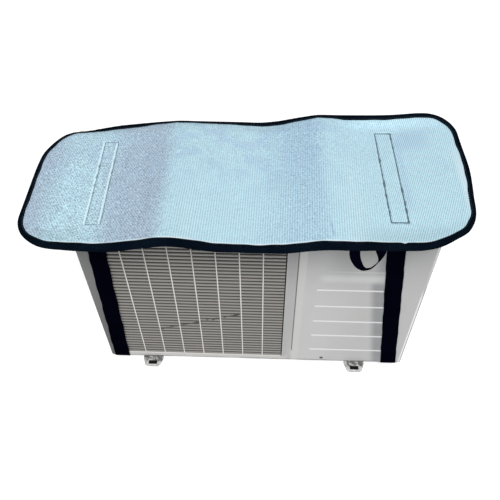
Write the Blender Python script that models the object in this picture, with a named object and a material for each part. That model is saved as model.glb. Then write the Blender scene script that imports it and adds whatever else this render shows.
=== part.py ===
"""Foil-faced foam sun cover, bound all round and strapped over an outdoor air conditioner unit.

Metres, +Z up. +X runs to the right along the unit's front and the front faces -Y.
The origin is on the ground below the middle of the cover.
"""

import math

import bmesh
import bpy
import numpy as np
from mathutils import Vector

MM = 0.001

# Clearances
TOUCH_GAP = 0.3 * MM
DRAPE_GAP = 2.0 * MM

# How far a cutting shape reaches past the face it cuts
CUT_REACH = 0.010

# Edges that turn more than this are drawn sharp on the soft pieces
SHARP_ANGLE = math.radians(35)

# Outdoor unit
UNIT_WIDTH = 0.780
UNIT_DEPTH = 0.260
CASE_HEIGHT = 0.540
FOOT_HEIGHT = 0.018
UNIT_MIDDLE_X = 0.017
UNIT_FRONT_Y = -0.120
CORNER_RADIUS = 0.006
TOP_EDGE_RADIUS = 0.004
UNIT_LEFT = UNIT_MIDDLE_X - UNIT_WIDTH / 2
UNIT_RIGHT = UNIT_MIDDLE_X + UNIT_WIDTH / 2
UNIT_BACK_Y = UNIT_FRONT_Y + UNIT_DEPTH
UNIT_TOP = FOOT_HEIGHT + CASE_HEIGHT

# Fan grille in the front
RIB_PITCH = 0.0524
RIB_BAYS = 8
RIB_WIDTH = 0.0028
GRILLE_LEFT = UNIT_MIDDLE_X - 0.347
GRILLE_RIGHT = GRILLE_LEFT + RIB_BAYS * RIB_PITCH
GRILLE_BOTTOM = FOOT_HEIGHT + 0.016
LOUVRE_PITCH = 0.01215
LOUVRE_COUNT = 40
GRILLE_TOP = GRILLE_BOTTOM + LOUVRE_COUNT * LOUVRE_PITCH
GRILLE_RECESS = 0.014
LOUVRE_SETBACK = 0.0022
LOUVRE_REACH = 0.0085
LOUVRE_THICKNESS = 0.0060
LOUVRE_FALL = 0.0022
RIB_SETBACK = 0.0003
GRILLE_BORDER = 0.0035

# Pressed ribs and joint line of the service side
PRESSED_RIB_HEIGHTS = [0.0615, 0.1300, 0.1950, 0.2590, 0.3240, 0.3930]
PRESSED_RIB_LEFT = UNIT_MIDDLE_X + 0.142
PRESSED_RIB_RIGHT = UNIT_MIDDLE_X + 0.345
PRESSED_RIB_WIDTH = 0.0060
PRESSED_RIB_RISE = 0.0010
JOINT_LINE_X = UNIT_MIDDLE_X + 0.097
JOINT_LINE_WIDTH = 0.0024
JOINT_LINE_BOTTOM = FOOT_HEIGHT + 0.047

# Feet
FOOT_OFFSETS = {"foot_left": -0.279, "foot_right": 0.270}
FOOT_WIDTH = 0.054
FOOT_TAB_WIDTH = 0.040
FOOT_TAB_REACH = 0.024
FOOT_PLATE = 0.003
FOOT_TAB_ROUND = 0.006
FOOT_RAIL_INSET = 0.010
BOLT_SLOT_LENGTH = 0.022
BOLT_SLOT_WIDTH = 0.010
BOLT_SLOT_OUT = 0.012

# Cover, over its binding
COVER_LENGTH = 0.934
COVER_DEPTH = 0.400
COVER_TURN = math.radians(1.54)
PAD_THICKNESS = 0.012
# Each corner is an oval quarter: its size along the cover and from front to back
CORNER_SIZES = {
    "front_left": (0.095, 0.092),
    "front_right": (0.125, 0.122),
    "back_right": (0.068, 0.068),
    "back_left": (0.170, 0.125),
}
# How far each corner reaches past half the length, as the ends aren't cut quite square
CORNER_EXTRA = {"front_left": 0.0, "front_right": -0.001, "back_right": 0.004, "back_left": 0.0}
CORNER_STEPS = 6
LONG_STEPS = 32
# Facets from front to back: over the front overhang, over the unit and over the back overhang
SIDE_STEPS = (2, 8, 2)

# Binding tape, folded round the pad's edge
TAPE_THICKNESS = 0.0012
TAPE_LAP = 0.0115
TAPE_EDGE_ROUND = 0.0022
PAD_INSET = TAPE_THICKNESS + TOUCH_GAP
INNER_RING_INSET = TAPE_LAP + 0.001
# The side of the tape's section that faces the pad from below, whose facets follow the pad's
LOWER_LAP_SIDE = 6

# Height of the cover's upper face above the unit's top, in mm, at places along its length
# The folds left by packing cross the cover from front to back
LAY_ROWS = {"front": -0.200, "over_front": -0.135, "over_back": 0.150, "back": 0.200}
LAY_COLUMNS = ("along", "front", "over_front", "over_back", "back")
LAY = [
    (-470, 18, 13, 6, -6),
    (-424, 22, 14, 10, -7),
    (-384, 25, 15, 14, -5),
    (-334, 21, 14, 14, -4),
    (-289, 19, 14, 14, 0),
    (-244, 24, 20, 16, 5),
    (-204, 31, 28, 21, 9),
    (-159, 37, 34, 25, 12),
    (-129, 34, 32, 22, 11),
    (-94, 26, 24, 17, 10),
    (-54, 19, 18, 15, 9),
    (-14, 16, 15, 14, 8),
    (21, 14, 14, 14, 7),
    (66, 15, 16, 18, 11),
    (96, 19, 20, 23, 17),
    (126, 24, 25, 28, 23),
    (166, 27, 28, 32, 29),
    (216, 25, 22, 24, 28),
    (256, 26, 16, 16, 28),
    (284, 24, 14, 14, 28),
    (328, 24, 14, 14, 29),
    (356, 27, 17, 18, 31),
    (396, 31, 22, 24, 35),
    (436, 28, 25, 28, 37),
    (470, 24, 26, 30, 36),
]

# Webbing straps, each a band right round the unit
STRAP_WIDTH = 0.040
STRAP_THICKNESS = 0.0014
STRAP_BEND = 0.007
STRAP_EASE = 0.060
STRAP_EASE_DROP = 0.110
STRAP_BEND_STEPS = 5
# The strap's middle across the unit at three heights, and where it leaves the cover at front and back
STRAP_LEVELS = (0.0, 0.400, CASE_HEIGHT)
STRAPS = {
    "strap_left": {"across": (-0.3615, -0.3450, -0.3310), "front": -0.138, "back": 0.1427},
    "strap_right": {"across": (0.3590, 0.3086, 0.2910), "front": -0.1232, "back": 0.155},
}

# Hanging loop of narrow tape, sewn below the binding beside the right strap
# Middle of the tape and half its width, in mm, from the loop's left end at the binding
LOOP_START_X = UNIT_MIDDLE_X + 0.1992
LOOP_START_Y = UNIT_FRONT_Y - 0.0680
LOOP_THICKNESS = 0.0011
LOOP_STEPS = 3
LOOP_TOP_CLEARANCE = 0.6 * MM
LOOP_COLUMNS = ("across", "back", "down", "half_x", "half_y", "half_z")
LOOP = [
    (0.0, 0.0, 0.0, 10.7, 0.0, 0.0),
    (0.5, 0.0, 19.0, 10.5, 1.0, 0.0),
    (4.0, 0.5, 42.0, 9.8, 4.0, -1.5),
    (13.0, 1.0, 63.0, 7.5, 7.0, -3.0),
    (23.0, 1.5, 70.0, 4.5, 8.4, -4.8),
    (32.0, 2.0, 69.5, 2.0, 8.8, -5.6),
    (42.0, 2.0, 60.0, 1.0, 8.6, -6.2),
    (49.5, 1.5, 46.0, 0.0, 8.2, -6.4),
    (52.5, 0.5, 28.0, -6.5, 7.5, -3.5),
    (52.0, 0.0, 0.0, -10.7, 0.0, 0.0),
]

# Finishes: base colour, metallic, roughness
FINISHES = {
    "foil_foam": ((0.60, 0.72, 0.78), 0.35, 0.42),
    "binding_tape": ((0.012, 0.014, 0.024), 0.0, 0.85),
    "webbing": ((0.008, 0.009, 0.016), 0.0, 0.80),
    "loop_tape": ((0.008, 0.009, 0.018), 0.0, 0.80),
    "painted_case": ((0.62, 0.62, 0.61), 0.0, 0.45),
    "grille_plastic": ((0.50, 0.48, 0.45), 0.0, 0.55),
    "grille_rib": ((0.60, 0.59, 0.57), 0.0, 0.55),
    "foot_steel": ((0.55, 0.55, 0.53), 0.2, 0.50),
}


def clear_scene():
    """Remove whatever the scene holds."""
    for obj in list(bpy.data.objects):
        bpy.data.objects.remove(obj, do_unlink=True)


def make_materials():
    """One Principled material for each finish."""
    materials = {}
    for name, (colour, metallic, roughness) in FINISHES.items():
        material = bpy.data.materials.new(name)
        material.use_nodes = True
        shader = material.node_tree.nodes["Principled BSDF"]
        shader.inputs["Base Color"].default_value = (*colour, 1.0)
        shader.inputs["Metallic"].default_value = metallic
        shader.inputs["Roughness"].default_value = roughness
        materials[name] = material
    return materials


def add_object(name, mesh_builder, material=None, smooth=True):
    """Turn a finished bmesh into a scene object."""
    bmesh.ops.recalc_face_normals(mesh_builder, faces=mesh_builder.faces)
    mesh = bpy.data.meshes.new(name)
    mesh_builder.to_mesh(mesh)
    mesh_builder.free()
    if smooth:
        mesh.shade_smooth()
        mesh.set_sharp_from_angle(angle=SHARP_ANGLE)
    obj = bpy.data.objects.new(name, mesh)
    bpy.context.scene.collection.objects.link(obj)
    if material:
        mesh.materials.append(material)
    return obj


def hide_as_tool(obj):
    """Keep a Boolean's other shape out of the model."""
    obj.hide_render = True
    obj.display_type = "WIRE"


def combine(obj, tool, operation):
    """Cut a tool shape from an object, or join it on."""
    hide_as_tool(tool)
    modifier = obj.modifiers.new(tool.name, "BOOLEAN")
    modifier.operation = operation
    modifier.solver = "EXACT"
    modifier.object = tool


def box_mesh(low, high, builder=None):
    """A box between two corners, in a new bmesh or added to one."""
    builder = builder or bmesh.new()
    made = bmesh.ops.create_cube(builder, size=1.0)
    low = Vector(low)
    high = Vector(high)
    bmesh.ops.scale(builder, vec=high - low, verts=made["verts"])
    bmesh.ops.translate(builder, vec=(low + high) / 2, verts=made["verts"])
    return builder


def extrude_outline(points, direction):
    """A closed solid from a flat outline pushed along a direction."""
    builder = bmesh.new()
    corners = [builder.verts.new(point) for point in points]
    face = builder.faces.new(corners)
    pushed = bmesh.ops.extrude_face_region(builder, geom=[face])
    moved = [item for item in pushed["geom"] if isinstance(item, bmesh.types.BMVert)]
    bmesh.ops.translate(builder, vec=direction, verts=moved)
    return builder


def loft_sections(sections, closed, turned_side=None):
    """Skin a row of equal sections, joined end to end or capped at both ends.

    Each facet's diagonal starts at the near section, and on the turned side at the far one.
    """
    builder = bmesh.new()
    rings = [[builder.verts.new(point) for point in section] for section in sections]
    size = len(rings[0])
    spans = len(rings) if closed else len(rings) - 1
    for index in range(spans):
        near = rings[index]
        far = rings[(index + 1) % len(rings)]
        for side in range(size):
            after = (side + 1) % size
            corners = (near[side], far[side], far[after], near[after])
            if side == turned_side:
                corners = corners[1:] + corners[:1]
            builder.faces.new(corners)
    if not closed:
        builder.faces.new(rings[0])
        builder.faces.new(reversed(rings[-1]))
    bmesh.ops.triangulate(builder, faces=builder.faces, quad_method="FIXED")
    return builder


def smooth_value(place, knots, values):
    """Cubic through the knots that never overshoots them, level wherever two neighbours are equal."""
    knots = np.asarray(knots, float)
    values = np.asarray(values, float)
    spans = np.diff(knots)
    slopes = np.diff(values) / spans
    tangents = np.zeros(len(knots))
    for inner in range(1, len(knots) - 1):
        before = slopes[inner - 1]
        after = slopes[inner]
        if before * after > 0:
            tangents[inner] = 2 * before * after / (before + after)
    tangents[0] = slopes[0]
    tangents[-1] = slopes[-1]
    place = min(max(place, knots[0]), knots[-1])
    span = min(int(np.searchsorted(knots, place, side="right")) - 1, len(spans) - 1)
    part = (place - knots[span]) / spans[span]
    from_start = (1 + 2 * part) * (1 - part) ** 2
    to_end = part**2 * (3 - 2 * part)
    start_pull = part * (1 - part) ** 2 * spans[span]
    end_pull = part**2 * (part - 1) * spans[span]
    return (
        from_start * values[span]
        + to_end * values[span + 1]
        + start_pull * tangents[span]
        + end_pull * tangents[span + 1]
    )


def cover_height(along, across):
    """Height of the cover's upper face above the ground, at a place on the cover."""
    table = np.array(LAY, float) * MM
    places = table[:, LAY_COLUMNS.index("along")]
    rows = [smooth_value(along, places, table[:, LAY_COLUMNS.index(row)]) for row in LAY_ROWS]
    return UNIT_TOP + smooth_value(across, list(LAY_ROWS.values()), rows)


def cover_point(along, across, rise=0.0):
    """A point on or near the cover's upper face, turned with the cover into the part's frame."""
    x = along * math.cos(COVER_TURN) - across * math.sin(COVER_TURN)
    y = along * math.sin(COVER_TURN) + across * math.cos(COVER_TURN)
    return Vector((x, y, cover_height(along, across) + rise))


def corner_arc(name, inset):
    """Points round one corner of the cover, drawn in by an inset, in the order of the outline."""
    size_x, size_y = CORNER_SIZES[name]
    sign_x = 1 if "right" in name else -1
    sign_y = 1 if "back" in name else -1
    middle_x = sign_x * (COVER_LENGTH / 2 + CORNER_EXTRA[name] - size_x)
    middle_y = sign_y * (COVER_DEPTH / 2 - size_y)
    start = {"front_left": 180, "front_right": 270, "back_right": 0, "back_left": 90}[name]
    arc = []
    for step in range(CORNER_STEPS + 1):
        angle = math.radians(start + 90 * step / CORNER_STEPS)
        x = middle_x + (size_x - inset) * math.cos(angle)
        y = middle_y + (size_y - inset) * math.sin(angle)
        arc.append((x, y))
    return arc


def long_shares():
    """Even shares of the way along the cover's straight front and back."""
    return [step / LONG_STEPS for step in range(1, LONG_STEPS)]


def side_shares():
    """Shares of the way from front to back, with one where the cover leaves each edge of the unit."""
    low = INNER_RING_INSET - COVER_DEPTH / 2
    stops = [low, LAY_ROWS["over_front"], LAY_ROWS["over_back"], -low]
    shares = []
    for start, end, steps in zip(stops, stops[1:], SIDE_STEPS):
        shares += [(start + (end - start) * step / steps - low) / (-2 * low) for step in range(steps)]
    return shares[1:]


def between(start, end, shares):
    """Points at given shares of the way from one point to another."""
    return [tuple(a + (b - a) * share for a, b in zip(start, end)) for share in shares]


def cover_sides(inset):
    """The outline's four runs: the front with its corners, the right end, the back and the left end."""
    arcs = {name: corner_arc(name, inset) for name in CORNER_SIZES}
    front = arcs["front_left"] + between(arcs["front_left"][-1], arcs["front_right"][0], long_shares())
    front += arcs["front_right"]
    back = arcs["back_right"] + between(arcs["back_right"][-1], arcs["back_left"][0], long_shares())
    back += arcs["back_left"]
    right = between(front[-1], back[0], side_shares())
    left = between(front[0], back[-1], side_shares())[::-1]
    return front, right, back, left


def cover_outline(inset):
    """The whole outline as one ring of places on the cover."""
    front, right, back, left = cover_sides(inset)
    return front + right + back + left


def build_pad(material):
    """The foam pad: a sheet laid in its folds and thickened downwards."""
    builder = bmesh.new()
    rim = [builder.verts.new(cover_point(*place)) for place in cover_outline(PAD_INSET)]
    front, right, back, left = cover_sides(INNER_RING_INSET)
    back = back[::-1]
    rows = [[builder.verts.new(cover_point(*place)) for place in front]]
    ruled = [between(near, far, side_shares()) for near, far in zip(front, back)]
    for places in zip(*ruled):
        rows.append([builder.verts.new(cover_point(*place)) for place in places])
    rows.append([builder.verts.new(cover_point(*place)) for place in back])
    for near, far in zip(rows, rows[1:]):
        for index in range(len(near) - 1):
            builder.faces.new((near[index], near[index + 1], far[index + 1], far[index]))
    inner = rows[0] + [row[-1] for row in rows[1:-1]] + rows[-1][::-1]
    inner += [row[0] for row in rows[-2:0:-1]]
    for index in range(len(rim)):
        after = (index + 1) % len(rim)
        builder.faces.new((rim[index], rim[after], inner[after], inner[index]))
    bmesh.ops.triangulate(builder, faces=builder.faces, quad_method="FIXED")
    lower = bmesh.ops.extrude_face_region(builder, geom=builder.faces[:])
    moved = [item for item in lower["geom"] if isinstance(item, bmesh.types.BMVert)]
    bmesh.ops.translate(builder, vec=(0, 0, -PAD_THICKNESS), verts=moved)
    return add_object("pad", builder, material)


def binding_section(rim, inner, outer):
    """The folded tape's section at one station: outside round the edge, then back along the inside."""
    rim = Vector(rim)
    inner = Vector(inner)
    outer = Vector(outer)
    lap_share = (TAPE_LAP - PAD_INSET) / (INNER_RING_INSET - PAD_INSET)
    lap = rim.lerp(inner, lap_share)
    over = Vector((0, 0, TOUCH_GAP))
    tape = Vector((0, 0, TAPE_THICKNESS))
    pad = Vector((0, 0, PAD_THICKNESS))
    round_down = Vector((0, 0, TAPE_EDGE_ROUND))
    edge_share = 1 - TAPE_EDGE_ROUND / INNER_RING_INSET
    turned = inner.lerp(outer, edge_share)
    turned.z = outer.z
    wall = rim.lerp(outer, TOUCH_GAP / PAD_INSET)
    wall.z = rim.z
    return [
        lap + over + tape,
        turned + over + tape,
        outer + over + tape - round_down,
        outer - pad - over - tape + round_down,
        turned - pad - over - tape,
        lap - pad - over - tape,
        lap - pad - over,
        wall - pad - over,
        wall + over,
        lap + over,
    ]


def build_binding(material):
    """The binding tape, a closed loop folded round the pad's edge."""
    rims = [cover_point(*place) for place in cover_outline(PAD_INSET)]
    inners = [cover_point(*place) for place in cover_outline(INNER_RING_INSET)]
    outers = []
    for place, rim in zip(cover_outline(0.0), rims):
        outer = cover_point(*place)
        outer.z = rim.z
        outers.append(outer)
    sections = [binding_section(*parts) for parts in zip(rims, inners, outers)]
    mesh_builder = loft_sections(sections, closed=True, turned_side=LOWER_LAP_SIDE)
    return add_object("binding", mesh_builder, material)


def rounded_path(corners, steps):
    """A closed path in the upright plane with each corner turned as an arc of its own radius."""
    path = []
    for index, (corner, radius) in enumerate(corners):
        corner = Vector(corner)
        before = Vector(corners[index - 1][0]) - corner
        after = Vector(corners[(index + 1) % len(corners)][0]) - corner
        half = before.angle(after) / 2
        back_off = radius / math.tan(half)
        start = corner + before.normalized() * back_off
        end = corner + after.normalized() * back_off
        for step in range(steps + 1):
            share = step / steps
            first = start.lerp(corner, share)
            second = corner.lerp(end, share)
            path.append(first.lerp(second, share))
    return path


def build_strap(name, material):
    """A webbing strap: under the cover, down the front, below the base and up the back."""
    sizes = STRAPS[name]
    half = STRAP_THICKNESS / 2
    top = UNIT_TOP + TOUCH_GAP + half
    bottom = FOOT_HEIGHT - DRAPE_GAP - half
    front = UNIT_FRONT_Y - DRAPE_GAP - half
    back = UNIT_BACK_Y + DRAPE_GAP + half
    eased = top - STRAP_EASE_DROP
    corners = [
        ((sizes["front"] - half, top), STRAP_BEND),
        ((front, eased), STRAP_EASE),
        ((front, bottom), STRAP_BEND),
        ((back, bottom), STRAP_BEND),
        ((back, eased), STRAP_EASE),
        ((sizes["back"] + half, top), STRAP_BEND),
    ]
    path = rounded_path(corners, STRAP_BEND_STEPS)
    sections = []
    for index, point in enumerate(path):
        run = (path[(index + 1) % len(path)] - path[index - 1]).normalized()
        outward = Vector((0, -run.y, run.x)) * half
        level = min(max(point.y - FOOT_HEIGHT, 0.0), CASE_HEIGHT)
        across = UNIT_MIDDLE_X + float(np.interp(level, STRAP_LEVELS, sizes["across"]))
        middle = Vector((across, point.x, point.y))
        side = Vector((STRAP_WIDTH / 2, 0, 0))
        sections.append(
            [
                middle - side - outward,
                middle + side - outward,
                middle + side + outward,
                middle - side + outward,
            ]
        )
    return add_object(name, loft_sections(sections, closed=True), material)


def below_binding(x):
    """Height just below the binding's lower lap, where the hanging loop meets it."""
    under = PAD_THICKNESS + TOUCH_GAP + TAPE_THICKNESS + LOOP_TOP_CLEARANCE
    across = LOOP_START_Y - x * math.sin(COVER_TURN)
    return cover_height(x, across) - under


def build_hanging_loop(material):
    """The narrow tape loop, which turns over once on its way round."""
    table = np.array(LOOP, float) * MM
    stations = range(len(LOOP))
    places = np.linspace(0, len(LOOP) - 1, (len(LOOP) - 1) * LOOP_STEPS + 1)
    edges = []
    for place in places:
        values = [smooth_value(place, stations, column) for column in table.T]
        row = dict(zip(LOOP_COLUMNS, values))
        pair = []
        for sign in (-1, 1):
            x = LOOP_START_X + row["across"] + sign * row["half_x"]
            y = LOOP_START_Y + row["back"] + sign * row["half_y"]
            z = below_binding(x) - row["down"] + sign * row["half_z"]
            pair.append(Vector((x, y, z)))
        edges.append(pair)
    sections = []
    for index, (left, right) in enumerate(edges):
        after = sum(edges[min(index + 1, len(edges) - 1)], Vector())
        before = sum(edges[max(index - 1, 0)], Vector())
        face = (after - before).cross(right - left).normalized() * LOOP_THICKNESS / 2
        sections.append([left - face, right - face, right + face, left + face])
    return add_object("hanging_loop", loft_sections(sections, closed=False), material)


def build_case(material):
    """The unit's painted case with its grille recess, joint line and pressed ribs."""
    low = (UNIT_LEFT, UNIT_FRONT_Y, FOOT_HEIGHT)
    high = (UNIT_RIGHT, UNIT_BACK_Y, UNIT_TOP)
    builder = box_mesh(low, high)
    upright = [edge for edge in builder.edges if abs(edge.verts[0].co.z - edge.verts[1].co.z) > MM]
    bmesh.ops.bevel(builder, geom=upright, offset=CORNER_RADIUS, segments=4, profile=0.5, affect="EDGES")
    rim = [edge for edge in builder.edges if min(vert.co.z for vert in edge.verts) > UNIT_TOP - MM]
    bmesh.ops.bevel(builder, geom=rim, offset=TOP_EDGE_RADIUS, segments=2, profile=0.5, affect="EDGES")
    case = add_object("unit_case", builder, material, smooth=False)

    inside = UNIT_FRONT_Y + GRILLE_RECESS
    outside = UNIT_FRONT_Y - CUT_REACH
    recess = box_mesh((GRILLE_LEFT, outside, GRILLE_BOTTOM), (GRILLE_RIGHT, inside, GRILLE_TOP))
    combine(case, add_object("grille_recess_tool", recess), "DIFFERENCE")

    half_line = JOINT_LINE_WIDTH / 2
    line_low = (JOINT_LINE_X - half_line, outside, JOINT_LINE_BOTTOM)
    line_high = (JOINT_LINE_X + half_line, UNIT_FRONT_Y + JOINT_LINE_WIDTH, GRILLE_TOP)
    combine(case, add_object("joint_line_tool", box_mesh(line_low, line_high)), "DIFFERENCE")

    ribs = bmesh.new()
    for height in PRESSED_RIB_HEIGHTS:
        middle = FOOT_HEIGHT + height
        rib_low = (PRESSED_RIB_LEFT, UNIT_FRONT_Y - PRESSED_RIB_RISE, middle - PRESSED_RIB_WIDTH / 2)
        rib_high = (PRESSED_RIB_RIGHT, UNIT_FRONT_Y + PRESSED_RIB_RISE, middle + PRESSED_RIB_WIDTH / 2)
        box_mesh(rib_low, rib_high, ribs)
    combine(case, add_object("pressed_ribs_tool", ribs), "UNION")
    return case


def build_louvres(material):
    """The grille's level louvres on their back plate, as one toothed section pushed along X."""
    tip = UNIT_FRONT_Y + LOUVRE_SETBACK
    root = tip + LOUVRE_REACH
    plate_back = UNIT_FRONT_Y + GRILLE_RECESS - TOUCH_GAP
    bottom = GRILLE_BOTTOM + TOUCH_GAP
    top = GRILLE_TOP - TOUCH_GAP
    start = GRILLE_LEFT + TOUCH_GAP
    outline = [(start, plate_back, bottom), (start, root, bottom)]
    for index in range(LOUVRE_COUNT):
        blade = GRILLE_BOTTOM + (index + 0.5) * LOUVRE_PITCH + LOUVRE_FALL
        half = LOUVRE_THICKNESS / 2
        outline.append((start, root, blade - half))
        outline.append((start, tip, blade - half - LOUVRE_FALL))
        outline.append((start, tip, blade + half - LOUVRE_FALL))
        outline.append((start, root, blade + half))
    outline += [(start, root, top), (start, plate_back, top)]
    length = GRILLE_RIGHT - GRILLE_LEFT - 2 * TOUCH_GAP
    return add_object("grille_louvres", extrude_outline(outline, (length, 0, 0)), material, smooth=False)


def build_grille_ribs(material):
    """The upright ribs and their border, one flat frame just in front of the louvres."""
    edge_left = GRILLE_LEFT + TOUCH_GAP
    edge_right = GRILLE_RIGHT - TOUCH_GAP
    lines_x = [edge_left, edge_left + GRILLE_BORDER]
    for bay in range(1, RIB_BAYS):
        middle = GRILLE_LEFT + bay * RIB_PITCH
        lines_x += [middle - RIB_WIDTH / 2, middle + RIB_WIDTH / 2]
    lines_x += [edge_right - GRILLE_BORDER, edge_right]
    edge_bottom = GRILLE_BOTTOM + TOUCH_GAP
    edge_top = GRILLE_TOP - TOUCH_GAP
    lines_z = [edge_bottom, edge_bottom + GRILLE_BORDER, edge_top - GRILLE_BORDER, edge_top]
    front = UNIT_FRONT_Y + RIB_SETBACK
    builder = bmesh.new()
    grid = [[builder.verts.new((x, front, z)) for x in lines_x] for z in lines_z]
    for row in range(len(lines_z) - 1):
        for column in range(len(lines_x) - 1):
            open_bay = row == 1 and column % 2 == 1
            if not open_bay:
                near = grid[row]
                far = grid[row + 1]
                builder.faces.new((near[column], near[column + 1], far[column + 1], far[column]))
    pushed = bmesh.ops.extrude_face_region(builder, geom=builder.faces[:])
    moved = [item for item in pushed["geom"] if isinstance(item, bmesh.types.BMVert)]
    depth = LOUVRE_SETBACK - RIB_SETBACK - TOUCH_GAP
    bmesh.ops.translate(builder, vec=(0, depth, 0), verts=moved)
    return add_object("grille_ribs", builder, material, smooth=False)


def build_foot(name, material):
    """A foot: a rail below the case on a plate whose two tabs are slotted for a bolt."""
    middle = UNIT_MIDDLE_X + FOOT_OFFSETS[name]
    half = FOOT_WIDTH / 2
    tab_half = FOOT_TAB_WIDTH / 2
    front = UNIT_FRONT_Y
    back = UNIT_BACK_Y
    outline = [
        (middle - half, front, 0.0),
        (middle - tab_half, front - FOOT_TAB_REACH, 0.0),
        (middle + tab_half, front - FOOT_TAB_REACH, 0.0),
        (middle + half, front, 0.0),
        (middle + half, back, 0.0),
        (middle + tab_half, back + FOOT_TAB_REACH, 0.0),
        (middle - tab_half, back + FOOT_TAB_REACH, 0.0),
        (middle - half, back, 0.0),
    ]
    plate = extrude_outline(outline, (0, 0, FOOT_PLATE))
    upright = [edge for edge in plate.edges if abs(edge.verts[0].co.z - edge.verts[1].co.z) > MM]
    tab_corners = [edge for edge in upright if not front - MM < edge.verts[0].co.y < back + MM]
    bmesh.ops.bevel(plate, geom=tab_corners, offset=FOOT_TAB_ROUND, segments=3, profile=0.5, affect="EDGES")
    foot = add_object(name, plate, material, smooth=False)

    rail_low = (middle - half + FOOT_PLATE, front + FOOT_RAIL_INSET, FOOT_PLATE / 2)
    rail_high = (middle + half - FOOT_PLATE, back - FOOT_RAIL_INSET, FOOT_HEIGHT - TOUCH_GAP)
    combine(foot, add_object(name + "_rail_tool", box_mesh(rail_low, rail_high)), "UNION")

    slots = bmesh.new()
    for slot_y in (front - BOLT_SLOT_OUT, back + BOLT_SLOT_OUT):
        slot_low = (middle - BOLT_SLOT_LENGTH / 2, slot_y - BOLT_SLOT_WIDTH / 2, -CUT_REACH)
        slot_high = (middle + BOLT_SLOT_LENGTH / 2, slot_y + BOLT_SLOT_WIDTH / 2, CUT_REACH)
        box_mesh(slot_low, slot_high, slots)
    combine(foot, add_object(name + "_slots_tool", slots), "DIFFERENCE")
    return foot


def main():
    clear_scene()
    materials = make_materials()
    build_pad(materials["foil_foam"])
    build_binding(materials["binding_tape"])
    for name in STRAPS:
        build_strap(name, materials["webbing"])
    build_hanging_loop(materials["loop_tape"])
    build_case(materials["painted_case"])
    build_louvres(materials["grille_plastic"])
    build_grille_ribs(materials["grille_rib"])
    for name in FOOT_OFFSETS:
        build_foot(name, materials["foot_steel"])


main()
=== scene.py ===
"""Looks of a foil-faced foam sun cover, strapped over an outdoor air conditioner unit.

Metres, +Z up. +X runs to the right along the unit's front, which faces -Y.
"""

import math

import bmesh
import bpy
import numpy as np
from mathutils import Matrix, Vector


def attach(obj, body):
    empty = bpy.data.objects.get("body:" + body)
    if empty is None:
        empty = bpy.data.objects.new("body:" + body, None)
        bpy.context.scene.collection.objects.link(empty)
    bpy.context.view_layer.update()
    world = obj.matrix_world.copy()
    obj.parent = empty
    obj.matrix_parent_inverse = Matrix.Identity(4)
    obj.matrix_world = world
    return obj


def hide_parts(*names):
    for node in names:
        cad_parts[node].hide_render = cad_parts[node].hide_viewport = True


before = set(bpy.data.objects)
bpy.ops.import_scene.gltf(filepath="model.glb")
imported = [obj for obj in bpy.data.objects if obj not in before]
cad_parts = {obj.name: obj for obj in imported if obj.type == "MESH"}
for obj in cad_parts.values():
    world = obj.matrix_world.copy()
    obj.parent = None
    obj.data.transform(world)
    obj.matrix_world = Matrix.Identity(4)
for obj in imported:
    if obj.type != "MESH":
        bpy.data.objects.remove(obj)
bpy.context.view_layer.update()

MM = 0.001
BODY = "root"
SHARP_ANGLE = math.radians(35)
UPWARD = np.array((0.0, 0.0, 1.0))

# Camera at the photograph's place, and the studio
CAMERA_PLACE = Vector((0.0464, -0.9436, 1.4595))
CAMERA_PITCH = math.radians(50.02)
CAMERA_ROLL = math.radians(-0.749)
CAMERA_TURN = math.radians(-2.683)
CAMERA_LENS = 43.22
CAMERA_SENSOR = 36.0
SKY_STRENGTH = 0.30
SUN_ENERGY = 2.9
SUN_SPREAD = math.radians(25)
SUN_WAY = Vector((-0.090, 0.522, -0.848))
SUN_PLACE = (0.5, -1.0, 2.0)
FLOOR_REACH = 6.0
FLOOR_DROP = 0.2 * MM

# Outdoor unit, as in the part but for its ends, which lie at the photograph's case edges
MIDDLE_X = 0.017
UNIT_LEFT = MIDDLE_X - 0.3915
UNIT_RIGHT = MIDDLE_X + 0.3935
FRONT_Y = -0.120
BACK_Y = 0.140
FOOT_HEIGHT = 0.018
CASE_HEIGHT = 0.540
UNIT_TOP = FOOT_HEIGHT + CASE_HEIGHT
CORNER_RADIUS = 6 * MM
TOP_EDGE_RADIUS = 4 * MM
SEAM = 0.8 * MM
LID_SEAM_Z = UNIT_TOP - 0.020
BASE_SEAM_Z = FOOT_HEIGHT + 5 * MM
JOINT_X = MIDDLE_X + 0.097
JOINT_HALF = 1.2 * MM
JOINT_START = FOOT_HEIGHT + 0.047
CUT_PAST = 0.010

# Fan grille
RIB_PITCH = 0.0524
RIB_BAYS = 8
RIB_WIDTH = 2.8 * MM
RIB_FACE = (0.3 * MM, 1.95 * MM)
RAIL_HEIGHT = 1.6 * MM
GRILLE_LEFT = MIDDLE_X - 0.347
GRILLE_RIGHT = GRILLE_LEFT + RIB_BAYS * RIB_PITCH
GRILLE_BOTTOM = FOOT_HEIGHT + 0.016
GRILLE_RECESS = 14 * MM
GRILLE_SHORT = 2.4 * MM
LOUVRE_PITCH = 12.15 * MM
LOUVRE_COUNT = 40
GRILLE_TOP = GRILLE_BOTTOM + LOUVRE_COUNT * LOUVRE_PITCH
# One louvre's section, in mm: how far behind the unit's front, and height above the louvre's middle
LOUVRE_SECTION = [
    (10.4, 5.0), (4.6, 1.9), (3.0, 1.3), (2.2, 0.2), (2.2, -3.8), (3.0, -4.9), (4.6, -4.2), (10.4, -1.0),
]
COIL_PLATE_FACE = 10.5 * MM

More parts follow.
